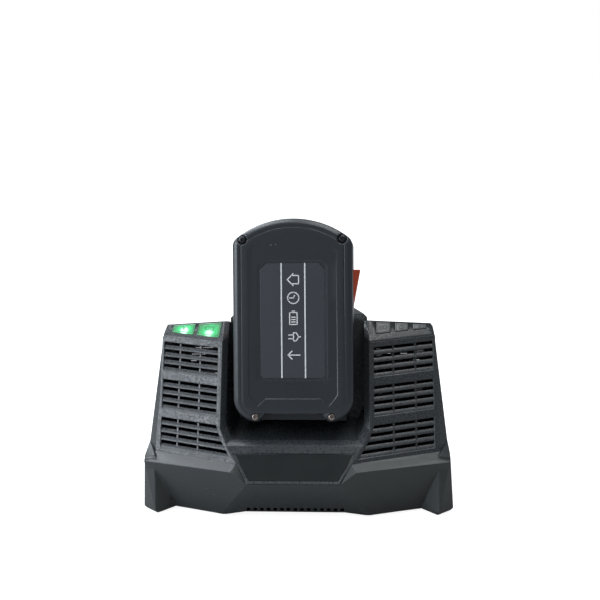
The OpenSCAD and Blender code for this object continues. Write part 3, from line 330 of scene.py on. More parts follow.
# -------- materials
class Nodes:
    """A small builder for node materials."""

    def __init__(self, name):
        self.mat = bpy.data.materials.new(name)
        self.mat.use_nodes = True
        self.tree = self.mat.node_tree
        self.tree.nodes.clear()
        self.out = self.new("ShaderNodeOutputMaterial")
        self.bsdf = self.new("ShaderNodeBsdfPrincipled")
        self.link(self.bsdf.outputs["BSDF"], self.out.inputs["Surface"])
        self.place = self.new("ShaderNodeTexCoord").outputs["Object"]

    def new(self, kind, **props):
        n = self.tree.nodes.new(kind)
        for k, v in props.items():
            setattr(n, k, v)
        return n

    def link(self, a, b):
        self.tree.links.new(a, b)

    def noise(self, scale, detail=3, rough=0.5):
        n = self.new("ShaderNodeTexNoise")
        n.inputs["Scale"].default_value = scale
        n.inputs["Detail"].default_value = detail
        n.inputs["Roughness"].default_value = rough
        self.link(self.place, n.inputs["Vector"])
        return n.outputs["Fac"]

    def cells(self, scale):
        """Distance to the nearest of scattered points."""
        n = self.new("ShaderNodeTexVoronoi")
        n.inputs["Scale"].default_value = scale
        self.link(self.place, n.inputs["Vector"])
        return n.outputs["Distance"]

    def ramp(self, value, low, high, a=0.0, b=1.0, smooth=False):
        n = self.new("ShaderNodeMapRange")
        if smooth:
            n.interpolation_type = "SMOOTHSTEP"
        n.inputs["From Min"].default_value = low
        n.inputs["From Max"].default_value = high
        n.inputs["To Min"].default_value = a
        n.inputs["To Max"].default_value = b
        self.link(value, n.inputs["Value"])
        return n.outputs["Result"]

    def math(self, op, a, b=None):
        n = self.new("ShaderNodeMath", operation=op)
        for i, v in enumerate((a, b)):
            if v is not None:
                self.feed(n.inputs[i], v)
        return n.outputs[0]

    def mix(self, fac, a, b):
        n = self.new("ShaderNodeMix", data_type="RGBA")
        for i, v in ((0, fac), (6, a), (7, b)):
            self.feed(n.inputs[i], v)
        return n.outputs[2]

    def bump(self, height, strength, distance, normal=None):
        n = self.new("ShaderNodeBump")
        n.inputs["Strength"].default_value = strength
        n.inputs["Distance"].default_value = distance
        self.link(height, n.inputs["Height"])
        if normal is not None:
            self.link(normal, n.inputs["Normal"])
        return n.outputs["Normal"]

    def split(self):
        """The object's own x, y and z."""
        n = self.new("ShaderNodeSeparateXYZ")
        self.link(self.place, n.inputs[0])
        return n.outputs

    def soft_edges(self, radius):
        n = self.new("ShaderNodeBevel")
        n.samples = 4
        n.inputs["Radius"].default_value = radius * MM
        return n.outputs["Normal"]

    def edge_mask(self, normal):
        """1 where the softened normal turns away from the face's own."""
        geo = self.new("ShaderNodeNewGeometry")
        dot = self.new("ShaderNodeVectorMath", operation="DOT_PRODUCT")
        self.link(normal, dot.inputs[0])
        self.link(geo.outputs["True Normal"], dot.inputs[1])
        return self.ramp(self.math("SUBTRACT", 1.0, dot.outputs["Value"]), 0.002, 0.08)

    def set_rough(self, value, low, high):
        self.set("Roughness", self.ramp(value, 0.3, 0.7, low, high))

    def feed(self, socket, value):
        """Sets a socket to a number or a colour, or links it to another node's output."""
        if isinstance(value, (int, float)):
            socket.default_value = value
        elif isinstance(value, (tuple, list)):
            socket.default_value = (*value, 1)
        else:
            self.link(value, socket)

    def set(self, name, value):
        self.feed(self.bsdf.inputs[name], value)


def shade(colour, factor):
    return tuple(min(1, c * factor) for c in colour)


MOULD_EDGE, MOULD_WORN = 0.35, 0.35
DUST_GREY = (0.32, 0.33, 0.34)


def moulded(name, colour, rough=0.45, grain=0.35, grain_size=0.9, specular=0.5, dust=0.6, tint=0.12,
            sparkle=0.0):
    """Spark-eroded moulded plastic: fine grain, softened edges, slightly polished corners and dust specks."""
    n = Nodes(name)
    fine = n.noise(1000 / grain_size, 2, 0.6)
    coarse = n.noise(1000 / (grain_size * 4.5), 3, 0.55)
    broad = n.noise(14, 3, 0.5)
    soft = n.soft_edges(MOULD_EDGE)
    edges = n.edge_mask(soft)
    base = n.mix(broad, shade(colour, 1 - tint), shade(colour, 1 + tint * 1.6))
    rubbed = tuple(min(1, c * 3.2 + 0.02) for c in colour)
    base = n.mix(n.math("MULTIPLY", edges, MOULD_WORN * 0.35), base, rubbed)
    speck = n.math("LESS_THAN", n.cells(210), 0.05)
    keep = n.math("GREATER_THAN", n.noise(90, 1), 0.62)
    base = n.mix(n.math("MULTIPLY", n.math("MULTIPLY", speck, keep), dust), base, DUST_GREY)
    n.set("Base Color", base)
    r = n.math("ADD", n.ramp(fine, 0.3, 0.7, rough - 0.06, rough + 0.07),
               n.ramp(broad, 0.3, 0.7, -0.03, 0.03))
    if sparkle:
        flecks = n.ramp(n.noise(1000 / grain_size, 1), 0.4, 0.62, sparkle * 0.6, -sparkle * 0.6)
        r = n.math("ADD", r, flecks)
    n.set("Roughness", n.math("SUBTRACT", r, n.math("MULTIPLY", edges, MOULD_WORN * 0.12)))
    n.set("Specular IOR Level", specular)
    height = n.math("ADD", n.math("MULTIPLY", fine, 0.6), n.math("MULTIPLY", coarse, 0.4))
    n.set("Normal", n.bump(height, grain, 0.00022, soft))
    return n.mat


def glossy(name, colour, rough=0.16, smudge=0.12):
    """Polished plastic with faint smudges."""
    n = Nodes(name)
    smear = n.noise(60, 4, 0.65)
    fine = n.noise(900, 2, 0.5)
    soft = n.soft_edges(0.3)
    n.set("Base Color", n.mix(smear, shade(colour, 0.8), shade(colour, 1.25)))
    n.set("Roughness", n.ramp(smear, 0.35, 0.7, rough, rough + smudge))
    n.set("Normal", n.bump(fine, 0.05, 0.0001, soft))
    return n.mat


def metal(name, colour, rough=0.3, stain=0.15):
    """Bare or plated metal, fine-grained and a little stained."""
    n = Nodes(name)
    grain = n.noise(1400, 2, 0.6)
    tone = n.noise(160, 4, 0.6)
    n.set("Metallic", 1.0)
    n.set("Base Color", n.mix(tone, shade(colour, 1 - stain), colour))
    n.set_rough(grain, rough - 0.08, rough + 0.1)
    n.set("Normal", n.bump(grain, 0.15, 0.00008, n.soft_edges(0.15)))
    return n.mat


def rubbery(name, colour, rough=0.6, grain=0.5):
    """Matt rubber or flexible plastic."""
    n = Nodes(name)
    fine = n.noise(1900, 2, 0.6)
    tone = n.noise(45, 3, 0.5)
    n.set("Base Color", n.mix(tone, shade(colour, 0.8), shade(colour, 1.3)))
    n.set_rough(fine, rough - 0.08, rough + 0.1)
    n.set("Normal", n.bump(fine, grain, 0.00012, n.soft_edges(0.2)))
    return n.mat


def circuit_board(name):
    """Green solder mask with tracks and vias."""
    n = Nodes(name)
    tracks = n.math("GREATER_THAN", n.noise(240, 0, 0.5), 0.56)
    dots = n.math("LESS_THAN", n.cells(170), 0.16)
    base = n.mix(tracks, (0.012, 0.09, 0.035), (0.02, 0.15, 0.06))
    n.set("Base Color", n.mix(n.math("MULTIPLY", dots, 0.7), base, (0.55, 0.52, 0.42)))
    n.set_rough(n.noise(500), 0.28, 0.4)
    n.set("Normal", n.bump(tracks, 0.3, 0.00004))
    return n.mat


def striped(name, colour, other, step, axis, share=0.5, rough=0.4):
    """Wound tape or wrapped sleeve: fine bands along one axis."""
    n = Nodes(name)
    wave = n.math("FRACT", n.math("MULTIPLY", n.split()[axis], 1000 / step))
    n.set("Base Color", n.mix(n.math("GREATER_THAN", wave, share), colour, other))
    n.set_rough(n.noise(700), rough - 0.08, rough + 0.08)
    n.set("Normal", n.bump(n.math("SINE", n.math("MULTIPLY", wave, 6.283)), 0.3, 0.0001))
    return n.mat


HOUSING = moulded("housing_black", (0.024, 0.027, 0.03), rough=0.36, grain=1.0, grain_size=1.1,
                  sparkle=0.32)
CASING = moulded("casing_black", (0.019, 0.022, 0.023), rough=0.4, grain=0.5, sparkle=0.15)
PANEL = moulded("panel_black", (0.022, 0.0245, 0.0275), rough=0.33, grain=1.0, grain_size=1.1,
                sparkle=0.4)
PACK = moulded("pack_charcoal", (0.0185, 0.022, 0.027), rough=0.35, grain=0.3, dust=1.0, specular=0.45)
BIB = glossy("bib_gloss", (0.011, 0.0125, 0.013), rough=0.1, smudge=0.08)
PCB = circuit_board("green_board")
FOOT = rubbery("foot_rubber", (0.02, 0.02, 0.022))
CORD = rubbery("cord_rubber", (0.018, 0.019, 0.021), rough=0.5, grain=0.3)
PLUG = moulded("plug_black", (0.02, 0.021, 0.023), rough=0.4)
BLACK_METAL = metal("black_screw", (0.05, 0.05, 0.055), rough=0.42)
ZINC = metal("zinc", (0.62, 0.62, 0.6), rough=0.32)
NICKEL = metal("nickel", (0.72, 0.7, 0.66), rough=0.22)
BRASSY = metal("yellow_zinc", (0.36, 0.3, 0.27), rough=0.33, stain=0.6)
ALUMINIUM = metal("aluminium", (0.74, 0.75, 0.76), rough=0.36)
FERRITE = moulded("ferrite", (0.06, 0.06, 0.065), rough=0.6, grain=0.6, dust=0)
TAPE = striped("winding_tape", (0.6, 0.4, 0.06), (0.5, 0.31, 0.04), 6, 0)
CAN = striped("capacitor_sleeve", (0.015, 0.017, 0.03), (0.03, 0.033, 0.05), 9, 2, share=0.85, rough=0.25)
COPPER = striped("choke_winding", (0.42, 0.16, 0.05), (0.25, 0.08, 0.03), 1.1, 0, rough=0.3)
CERAMIC = glossy("fuse_body", (0.75, 0.73, 0.68))
NYLON = moulded("white_nylon", (0.66, 0.66, 0.62), rough=0.5, dust=0)
FAN = moulded("fan_black", (0.02, 0.02, 0.022), rough=0.5, dust=0)
WIRE = rubbery("red_wire", (0.36, 0.02, 0.015))
CELL = striped("cell_sleeve", (0.03, 0.12, 0.35), (0.028, 0.11, 0.33), 5, 0, rough=0.25)
HOLDER = moulded("holder_black", (0.03, 0.03, 0.032), rough=0.55, dust=0)
ORANGE = moulded("orange_button", (0.5, 0.07, 0.026), rough=0.4, dust=0.3, tint=0.1)
SPRING = metal("spring_steel", (0.5, 0.5, 0.52), rough=0.28)

PLAIN = (
    (FOOT, "foot_pad_1 foot_pad_2 foot_pad_3 foot_pad_4"),
    (BLACK_METAL, "housing_screws pack_screws_upper"),
    (PCB, "left_indicator_board right_indicator_board main_board pack_board"),
    (ZINC, "board_screws fan_screws"), (FERRITE, "transformer_core"), (TAPE, "transformer_winding"),
    (ALUMINIUM, "heat_sink"), (CAN, "bulk_capacitor output_capacitors"), (COPPER, "line_choke"),
    (CERAMIC, "fuse"), (NYLON, "mains_terminal"), (FAN, "fan_frame fan_rotor"),
    (HOLDER, "contact_block cell_holder pack_terminal_block"),
    (NICKEL, "contact_blades plug_pins cell_links"), (WIRE, "output_leads"), (PLUG, "plug_body"),
    (CORD, "mains_lead_inside strain_relief coil_tie mains_lead mains_lead_coil mains_lead_tail"),
    (CELL, "cell_1 cell_2 cell_3 cell_4 cell_5"), (BRASSY, "pack_screws_lower"),
    (SPRING, "left_button_spring right_button_spring"), (CASING, "lower_casing"),
    (HOUSING, "upper_housing"), (PANEL, "left_vent_panel right_vent_panel"), (BIB, "bib_plate"),
    (PACK, "pack_rear_shell pack_front_shell pack_label"),
    (ORANGE, "left_release_button right_release_button"),
)
for material, nodes in PLAIN:
    for node in nodes.split():
        mesh = NODES[node].data
        if mesh.materials:
            for i in range(len(mesh.materials)):
                mesh.materials[i] = material
        else:
            mesh.materials.append(material)
        mesh.polygons.foreach_set("use_smooth", [True] * len(mesh.polygons))
        mesh.set_sharp_from_angle(angle=rad(28))


# -------- mains lead
def lead_points():
    """The lead's centre line in millimetres, from the strain relief to the plug."""
    start = Vector((10, 88.1, 0))
    pts = [start + Vector(p) for p in (
        (0, -0.6, 14), (0, 3.5, 13.8), (0, 7, 12.9), (0, 11, 11.3), (0, 15, 9.2), (0, 19, 7.2),
        (0, 23, 5.4), (0, 27, 4), (0, 31, 3.1), (0, 34, 2.8))]
    centre = Vector((49.25, 124.7, 0))
    lead_r, tail_r, steps = 2.75, 23, 24
    # four turns inwards on the bench, then three outwards on top of them
    radii = [39.25, 33.75, 28.25, 22.75, 25.5, 31, 36.5]
    levels = [2.75, 2.75, 2.75, 2.75, 7.55, 7.55, 7.55]
    for turn in range(7):
        for i in range(steps):
            t = i / steps
            blend = eased((t - 0.7) / 0.3)
            if turn < 6:
                r = lerp(radii[turn], radii[turn + 1], blend)
                z = lerp(levels[turn], levels[turn + 1], blend)
            else:
                r, z = radii[turn], lerp(levels[turn], 8.1, blend)
            if turn == 3:
                # the climb onto the lower turns takes more of the way round
                ease = eased((t - 0.45) / 0.55)
                r, z = lerp(radii[3], radii[4], ease), lerp(levels[3], levels[4], ease)
            a = rad(180) - 2 * math.pi * t
            pts.append(centre + Vector((r * math.cos(a), r * math.sin(a), z)))
    tail_zs = (7.9, 7.2, 6.3, 5.3, 4.3, 3.6, 3.4, 4.2, 6.2, 9.2, 12.6, 15.6, 18)
    at = Vector((10, 124.5, 0))
    pts.append(at + Vector((lead_r, 1.0, 8.15)))
    pts.append(at + Vector((lead_r, 4.5, 8.1)))
    for i, z in enumerate(tail_zs):
        a = rad(15 * i)
        pts.append(at + Vector((lead_r - tail_r + tail_r * math.cos(a), 8 + tail_r * math.sin(a), z)))
    pts += [at + Vector((-43.25, 3, 18.9)), at + Vector((-43.25, -1, 19)), at + Vector((-43.25, -2.9, 19))]
    return pts


def make_lead():
    pts = [p * MM for p in lead_points()]
    data = bpy.data.curves.new("mains_lead_cord", "CURVE")
    data.dimensions = "3D"
    data.bevel_depth = 0.00275
    data.bevel_resolution = 5
    data.resolution_u = 4
    data.use_fill_caps = True
    spline = data.splines.new("BEZIER")
    spline.bezier_points.add(len(pts) - 1)
    for i, p in enumerate(pts):
        b = spline.bezier_points[i]
        before, after = pts[max(i - 1, 0)], pts[min(i + 1, len(pts) - 1)]
        way = (after - before).normalized()
        b.co = p
        b.handle_left_type = b.handle_right_type = "FREE"
        b.handle_left = p - way * (p - before).length / 3
        b.handle_right = p + way * (after - p).length / 3
    obj = placed("mains_lead_cord", data)
    data.materials.append(CORD)
    length = sum((b - a).length for a, b in zip(pts, pts[1:]))
    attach(obj, "charger")
    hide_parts("mains_lead", "mains_lead_coil", "mains_lead_tail")
    tuple(pts[0])
    print("lead length", round(length, 4))


make_lead()


# -------- housings from the frame's own shapes
def refined(node, material, width, least=5.0, angle=7, small=12e-6):
    """A copy of a CAD node whose long outer edges are rounded, which stands for it."""
    src = NODES[node]
    obj = placed(node + "_shell", src.data.copy())
    bm = bmesh.new()
    bm.from_mesh(src.data)
    for f in bm.faces:
        f.smooth = False
        f.material_index = 0
    for e in bm.edges:
        e.smooth = True
    bmesh.ops.remove_doubles(bm, verts=bm.verts, dist=2e-6)
    bmesh.ops.dissolve_limit(bm, angle_limit=rad(0.4), verts=bm.verts, edges=bm.edges,
                             use_dissolve_boundaries=False)
    bmesh.ops.triangulate(bm, faces=[f for f in bm.faces if len(f.verts) > 4])
    weights = bm.edges.layers.float
    layer = weights.get("bevel_weight_edge") or weights.new("bevel_weight_edge")
    chosen = []
    for e in bm.edges:
        if len(e.link_faces) != 2 or e.calc_length() < least * MM or e.calc_face_angle(0) < rad(angle):
            continue
        if min(f.calc_area() for f in e.link_faces) > small:
            e[layer] = 1.0
            chosen.append(e)
    tree = BVHTree.FromBMesh(bm)
    allowed, reach = (0.35 * width + 0.04) * MM, 2.5 * width * MM
    # an edge whose rounding strays from the CAD shape is rounded less
    for attempt in range(4):
        mesh = bpy.data.meshes.new(obj.name)
        bm.to_mesh(mesh)
        mesh.materials.append(material)
        obj.data = mesh
        bevelled(obj, width)
        astray = [v.co for v in obj.data.vertices if tree.find_nearest(v.co)[3] > allowed]
        if not astray:
            break
        for e in chosen:
            a, b = (v.co for v in e.verts)
            if any(along_edge(p, a, b) < reach for p in astray):
                e[layer] *= 0.4 if attempt < 2 else 0
    print(node, "edges", len(chosen), "attempts", attempt + 1, "astray", len(astray))
    bm.free()
    smooth_by(obj, 40)
    weighted(obj)
    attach(obj, src["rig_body"])
    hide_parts(node)
    return obj


def along_edge(p, a, b):
    """Distance from p to the edge from a to b."""
    way = b - a
    t = max(0, min(1, (p - a).dot(way) / way.length_squared))
    return (p - a - way * t).length


upper = refined("upper_housing", HOUSING, width=0.4)
lower = refined("lower_casing", CASING, width=0.5)
rear = refined("pack_rear_shell", PACK, width=0.6)


# -------- louvred vent panels
SLOT_PITCH, GROUP_PITCH, ROWS = 4.5, 22.8, 4
RIB_SHARES = (0.33, 0.705)
PANEL_LAP, PANEL_PROUD, PANEL_ROUND, PANEL_THICK = 1.1, 0.06, 0.32, 1.6
PANEL_IN, KNEE_X = MOUTH_HALF + 2, RIM_HALF + 3
KNEE_HIGH, KNEE_LOW = RIM_Z + 11, RIM_Z + 2.5


def panel_inner_x(z):
    """How far from the middle the panel's inner edge is at height z."""
    if z > KNEE_HIGH:
        return PANEL_IN
    if z > KNEE_LOW:
        return lerp(KNEE_X, PANEL_IN, (z - RIM_Z - 2.5) / 8.5)
    return lerp(RIM_HALF - 3.5, KNEE_X, (z - SEAM_Z - 2) / (RIM_Z + 0.5 - SEAM_Z))


def make_vent_panel(side):
    """A frame with three openings, each filled by four slats that shed rain, and ribs behind them."""
    name = "right" if side > 0 else "left"

    def place(x, z, depth=0.0):
        p = wing_point(x, z, depth - PANEL_PROUD)
        return Vector((side * p.x, p.y, p.z))

    right, top, low = SIDE_X - 7.5, LED_Z - 2, SEAM_Z + 2
    outline = inset_loop([(PANEL_IN, top), (PANEL_IN, KNEE_HIGH), (KNEE_X, KNEE_LOW), (RIM_HALF - 3.5, low),
                          (right, low), (right - 0.5, top)], -PANEL_LAP)
    x1 = SIDE_X - 8.8
    groups, openings = [], []
    for g in range(3):
        zt = LED_Z - 4.2 - g * GROUP_PITCH
        zb = zt - ROWS * SLOT_PITCH + 0.5
        groups.append((zt, zb))
        loop = [(panel_inner_x(zt) + 1.1, zt)]
        for knee in (KNEE_HIGH, KNEE_LOW):
            if zb < knee < zt:
                loop.append((panel_inner_x(knee) + 1.1, knee))
        loop += [(panel_inner_x(zb) + 1.1, zb), (x1, zb), (x1, zt)]
        openings.append(loop)
    # how the face turns into a side: distance out, depth
    edge = [(0.0, 0.0), (0.1, 0.07), (0.24, 0.24), (PANEL_ROUND, 0.45)]
    pts, faces = [], []

    def rounded_side(loop, grow):
        start = len(pts)
        for out, depth in edge:
            pts.extend(place(x, z, depth) for x, z in inset_loop(loop, grow * (PANEL_ROUND - out)))
        pts.extend(place(x, z, PANEL_THICK) for x, z in loop)
        faces.extend(ring_faces(len(loop), len(edge) + 1, start))

    rounded_side(outline, 1)
    for loop in openings:
        rounded_side(loop, -1)
    flat, tris = filled([inset_loop(outline, PANEL_ROUND)] + [inset_loop(o, -PANEL_ROUND) for o in openings])
    k = len(pts)
    pts.extend(place(x, z, 0) for x, z in flat)
    faces.extend([[k + i for i in f] for f in tris])
    flat, tris = filled([outline] + openings)
    k = len(pts)
    pts.extend(place(x, z, PANEL_THICK) for x, z in flat)
    faces.extend([[k + i for i in reversed(f)] for f in tris])
    frame_part = mesh_piece("panel", pts, faces, PANEL)
    outwards(frame_part, 1e-7)

    parts = [frame_part]
    for zt, zb in groups:
        for r in range(ROWS):
            # a bar below each gap, leaning back a little towards its top
            z0 = zt - (r + 1) * SLOT_PITCH + 0.05
            section = [(z0 + 0.12, 0.42), (z0 + 0.3, 0.26), (z0 + 0.55, 0.24), (z0 + 2.0, 0.66),
                       (z0 + 2.7, 1.05), (z0 + 2.95, 1.4), (z0 + 2.95, 2.3), (z0 + 0.1, 2.1)]
            xa, xb = panel_inner_x(z0) + 0.9, x1 + 0.25
            pts = [place(x, z, d) for x in (xa, xb) for z, d in section]
            n = len(section)
            faces = ring_faces(n, 2) + [list(reversed(range(n))), [n + i for i in range(n)]]
            slat = mesh_piece("slat", pts, faces, PANEL)
            outwards(slat)
            parts.append(slat)
        for share in RIB_SHARES:
            xr = lerp(MOUTH_HALF + 2.9, x1, share)
            if xr - 0.6 < panel_inner_x(zb) + 1.5:
                continue
            pts = [place(x, z, d) for x in (xr - 0.55, xr + 0.55) for z, d in
                   ((zb - 0.3, 0.75), (zt + 0.3, 0.75), (zt + 0.3, 2.4), (zb - 0.3, 2.4))]
            faces = [[0, 1, 2, 3], [7, 6, 5, 4], [0, 4, 5, 1], [1, 5, 6, 2], [2, 6, 7, 3], [3, 7, 4, 0]]
            rib = mesh_piece("rib", pts, faces, PANEL)
            outwards(rib)
            parts.append(rib)
    obj = join(name + "_louvres", parts)
    smooth_by(obj, 20)
    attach(obj, "charger")
    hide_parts(name + "_vent_panel")


make_vent_panel(1)
make_vent_panel(-1)


# -------- battery pack's front
PACK_HALF, PACK_TOP, PACK_SEAM = 38.0, 128.7, 22.0
ARCH_R, FOOT_R, SHOULDER_R = 58.5, 15.0, 7.0
NOTCH = [(-22.0, 0.0), (-18.2, 5.5), (18.2, 5.5), (22.0, 0.0)]
LABEL_HALF, LABEL_Z0, LABEL_Z1 = 20.4, 28.0, 100.4
UPPER_SCREW, LOWER_SCREW = (31.6, 115.4), (24.2, 3.3)
# how the face falls away towards its edge: distance in from the outline, depth behind the face
EDGE_PROFILE = [(0, 3.9), (0.1, 3.3), (0.35, 2.65), (0.8, 2.0), (1.4, 1.42), (2.1, 0.92), (2.75, 0.58),
                (3.0, 0.47), (3.2, 0.42), (4.6, 0.36), (4.95, 0.46), (5.3, 0.64), (5.5, 0.62), (5.85, 0.16),
                (6.1, 0.1)]
NOTCH_DEPTH, INNER_DEPTH, LABEL_DEPTH = 14, 3.5, 0.58


def arc(cx, cz, r, a0, a1, n):
    return [(cx + r * math.cos(rad(lerp(a0, a1, i / n))), cz + r * math.sin(rad(lerp(a0, a1, i / n))))
            for i in range(n + 1)]


def pack_outline(inset):
    """The pack's outline seen from the front, counter-clockwise from the foot's right end."""
    rise = math.sqrt((ARCH_R - SHOULDER_R) ** 2 - (PACK_HALF - SHOULDER_R) ** 2)
    end = math.degrees(math.atan2(rise, PACK_HALF - SHOULDER_R))
    cz = PACK_TOP - ARCH_R
    half = arc(PACK_HALF - FOOT_R, FOOT_R, FOOT_R - inset, -90, 0, 18)
    half += arc(PACK_HALF - SHOULDER_R, cz + rise, SHOULDER_R - inset, 0, end, 12)
    half += arc(0, cz, ARCH_R - inset, end + 1.5, 90, 28)
    return half + [(-x, z) for x, z in reversed(half[:-1])]


def along_segment(p, a, b):
    """Distance from p to the segment from a to b."""
    dx, dz = b[0] - a[0], b[1] - a[1]
    t = max(0, min(1, ((p[0] - a[0]) * dx + (p[1] - a[1]) * dz) / (dx * dx + dz * dz)))
    return math.hypot(p[0] - a[0] - t * dx, p[1] - a[1] - t * dz)


def to_line(p, line, closed=False):
    pairs = list(zip(line, line[1:])) + ([(line[-1], line[0])] if closed else [])
    return min(along_segment(p, a, b) for a, b in pairs)


def table(profile, d):
    """The value at d on a line through points of (distance, value)."""
    for (d0, y0), (d1, y1) in zip(profile, profile[1:]):
        if d <= d1:
            return lerp(y0, y1, max(0, (d - d0) / (d1 - d0)))
    return profile[-1][1]


def label_loop(grow):
    h, a, b, c, d = LABEL_HALF + grow, LABEL_Z0 - grow, LABEL_Z1 + grow, 4, 1.3
    return [(h, a + d), (h, b - c), (h - c, b), (c - h, b), (-h, b - c), (-h, a + d), (d - h, a), (h - d, a)]


def recess_loop(grow):
    """The sunk middle of the face: straight sides, an open top and two Vs at the foot."""
    right = [(17.2, 14.7), (22.6, 10.0), (25.8, 13.7), (28.3, 17.5), (28.3, 108), (24, 113.2)]
    loop = right + [(12, 117.5), (-12, 117.5)] + [(-x, z) for x, z in reversed(right)]
    return inset_loop(loop, -grow)


PACK_RIM = pack_outline(0)
RECESS = recess_loop(0)


def face_depth(p):
    """Depth of the pack's front skin behind its foremost plane."""
    z = p[1]
    d = to_line(p, PACK_RIM, True)
    base = table(EDGE_PROFILE, d)
    plain = table([q for q in EDGE_PROFILE if not 4.7 < q[0] < 5.7], d)
    y = lerp(plain, base, eased((z - 9) / 16))
    if z < 12:
        near = to_line(p, NOTCH)
        y += table([(0, 1.25), (0.2, 0.95), (2.0, 0.1), (2.3, 0)], near)
    edge = to_line(p, RECESS, True)
    if inside(p, RECESS) or edge < 1e-4:
        y += 0.34 * min(1, edge / 0.35) * (1 - eased((z - 96) / 20))
    for grow, width, step in ((1.9, 0.35, 0.2), (0.2, 0.15, 0.42)):
        loop = label_loop(grow)
        edge = to_line(p, loop, True)
        if inside(p, loop) or edge < 1e-4:
            y += step * min(1, edge / width)
    return y


def circle(cx, cz, r, n=32):
    turns = [2 * math.pi * i / n for i in range(n)]
    return [(cx + r * math.cos(a), cz + r * math.sin(a)) for a in turns]


def make_pack_front():
    wells = [(s * UPPER_SCREW[0], UPPER_SCREW[1], 3.2, 2.7) for s in (-1, 1)]
    wells += [(s * LOWER_SCREW[0], LOWER_SCREW[1], 2.5, 1.15) for s in (-1, 1)]
    pts, edges = [], []

    def add(line, closed=True):
        k = len(pts)
        pts.extend(Vector(p) for p in line)
        edges.extend((k + i, k + i + 1) for i in range(len(line) - 1))
        if closed:
            edges.append((k + len(line) - 1, k))

    for d, _ in EDGE_PROFILE:
        add(pack_outline(d))
    add(RECESS)
    add(recess_loop(-0.35))
    for grow in (1.9, 1.55, 0.2, 0.05):
        add(label_loop(grow))
    for x, z, r, _ in wells:
        add(circle(x, z, r))
        add(circle(x, z, r + 0.18))
        add(circle(x, z, r + 0.4))
    for off in (0, 0.2, 1.0, 2.0, 2.3):
        line = inset_loop([(-22, -9)] + NOTCH + [(22, -9)], -off)[1:-1]
        # the legs go on below the foot, so that each line leaves the outline
        a, b = Vector(line[0]), Vector(line[1])
        c, e = Vector(line[-1]), Vector(line[-2])
        line = [tuple(a + (a - b) * 0.9)] + line[1:-1] + [tuple(c + (c - e) * 0.9)]
        add(line, False)
    for z in [4 + 3.1 * k for k in range(40)]:
        for x in [-30 + 4 * k for k in range(16)]:
            pts.append(Vector((x + 0.013 * z, z)))
    vs, _, faces, _, _, _ = delaunay_2d_cdt(pts, edges, [], 0, 1e-5)
    notch_zone = [(-25, -4.34), NOTCH[1], NOTCH[2], (25, -4.34)]
    keep = []
    for f in faces:
        c = sum((vs[i] for i in f), Vector((0, 0))) / len(f)
        if not inside(c, PACK_RIM) or inside(c, notch_zone):
            continue
        if any((c.x - x) ** 2 + (c.y - z) ** 2 < r * r * 0.994 for x, z, r, _ in wells):
            continue
        keep.append(list(f))
    used = sorted({i for f in keep for i in f})
    index = {v: i for i, v in enumerate(used)}
    flat = [vs[i] for i in used]
    points = []
    for p in flat:
        y = face_depth(p)
        for wx, wz, r, _ in wells:
            gap = math.hypot(p.x - wx, p.y - wz) - r
            if gap < 0.4:
                y += 0.3 * (1 - max(0, gap) / 0.4) ** 1.6
        points.append(pack_point(p.x, y, p.y))
    faces = [[index[i] for i in f] for f in keep]
    # every open border runs back: the rim to the seam, the notch to its end, the wells to their floors
    count = {}
    for f in faces:
        for a, b in zip(f, f[1:] + f[:1]):
            count[(a, b)] = count.get((a, b), 0) + 1
    border = [(a, b) for a, b in count if (b, a) not in count]
    back = {}

    def deep(i, y):
        key = (i, y)
        if key not in back:
            back[key] = len(points)
            points.append(pack_point(flat[i].x, y, flat[i].y))
        return back[key]

    for a, b in border:
        m = (flat[a] + flat[b]) / 2
        well = next((w for w in wells if abs(math.hypot(m.x - w[0], m.y - w[1]) - w[2]) < 0.1), None)
        if well:
            y = well[3]
        elif to_line(m, NOTCH) < 0.05 and m.y > 0.02:
            y = NOTCH_DEPTH
        else:
            y = PACK_SEAM
        faces.append([b, a, deep(a, y), deep(b, y)])
    for x, z, r, y in wells:
        k = len(points)
        points.extend(pack_point(px, y, pz) for px, pz in circle(x, z, r))
        points.extend(pack_point(px, y, pz) for px, pz in circle(x, z, 1.5))
        faces += ring_faces(32, 2, k)
    # back of the notch, the foot behind it and the inner side
    k = len(points)
    points.extend(pack_point(x, NOTCH_DEPTH, z) for x, z in NOTCH)
    faces.append([k, k + 3, k + 2, k + 1])
    k = len(points)
    points.extend(pack_point(x, y, 0) for x, y in
                  ((-22, NOTCH_DEPTH), (22, NOTCH_DEPTH), (22, PACK_SEAM), (-22, PACK_SEAM)))
    faces.append([k, k + 1, k + 2, k + 3])
    inner = [(x, max(z, 8.0)) for x, z in pack_outline(2.0)]
    inner = [p for i, p in enumerate(inner) if (Vector(p) - Vector(inner[i - 1])).length > 0.01]
    rim, tris = filled([PACK_RIM, inner])
    k = len(points)
    points.extend(pack_point(x, PACK_SEAM, z) for x, z in rim)
    faces.extend([[k + i for i in reversed(f)] for f in tris])
    k, n = len(points), len(inner)
    points.extend(pack_point(x, PACK_SEAM, z) for x, z in inner)
    points.extend(pack_point(x, INNER_DEPTH, z) for x, z in inner)
    faces += ring_faces(n, 2, k)
    faces.append([k + n + i for i in reversed(range(n))])
    obj = mesh_piece("pack_front_face", points, faces, PACK)
    outwards(obj, 3e-6)
    section = [(8.0, 6.0), (8.0, 4.7), (8.25, 4.15), (8.8, 3.9), (14.2, 3.9), (14.2, 6.0)]
    lip_points = [pack_point(x, y, z) for x in (-14.5, 14.5) for y, z in section]
    lip_faces = ring_faces(6, 2) + [list(range(6)), list(range(11, 5, -1))]
    lip_part = mesh_piece("lip", lip_points, lip_faces, PACK)
    outwards(lip_part)
    obj = join("pack_front_face", [obj, lip_part])
    smooth_by(obj, 24)
    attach(obj, "pack")
    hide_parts("pack_front_shell")


make_pack_front()


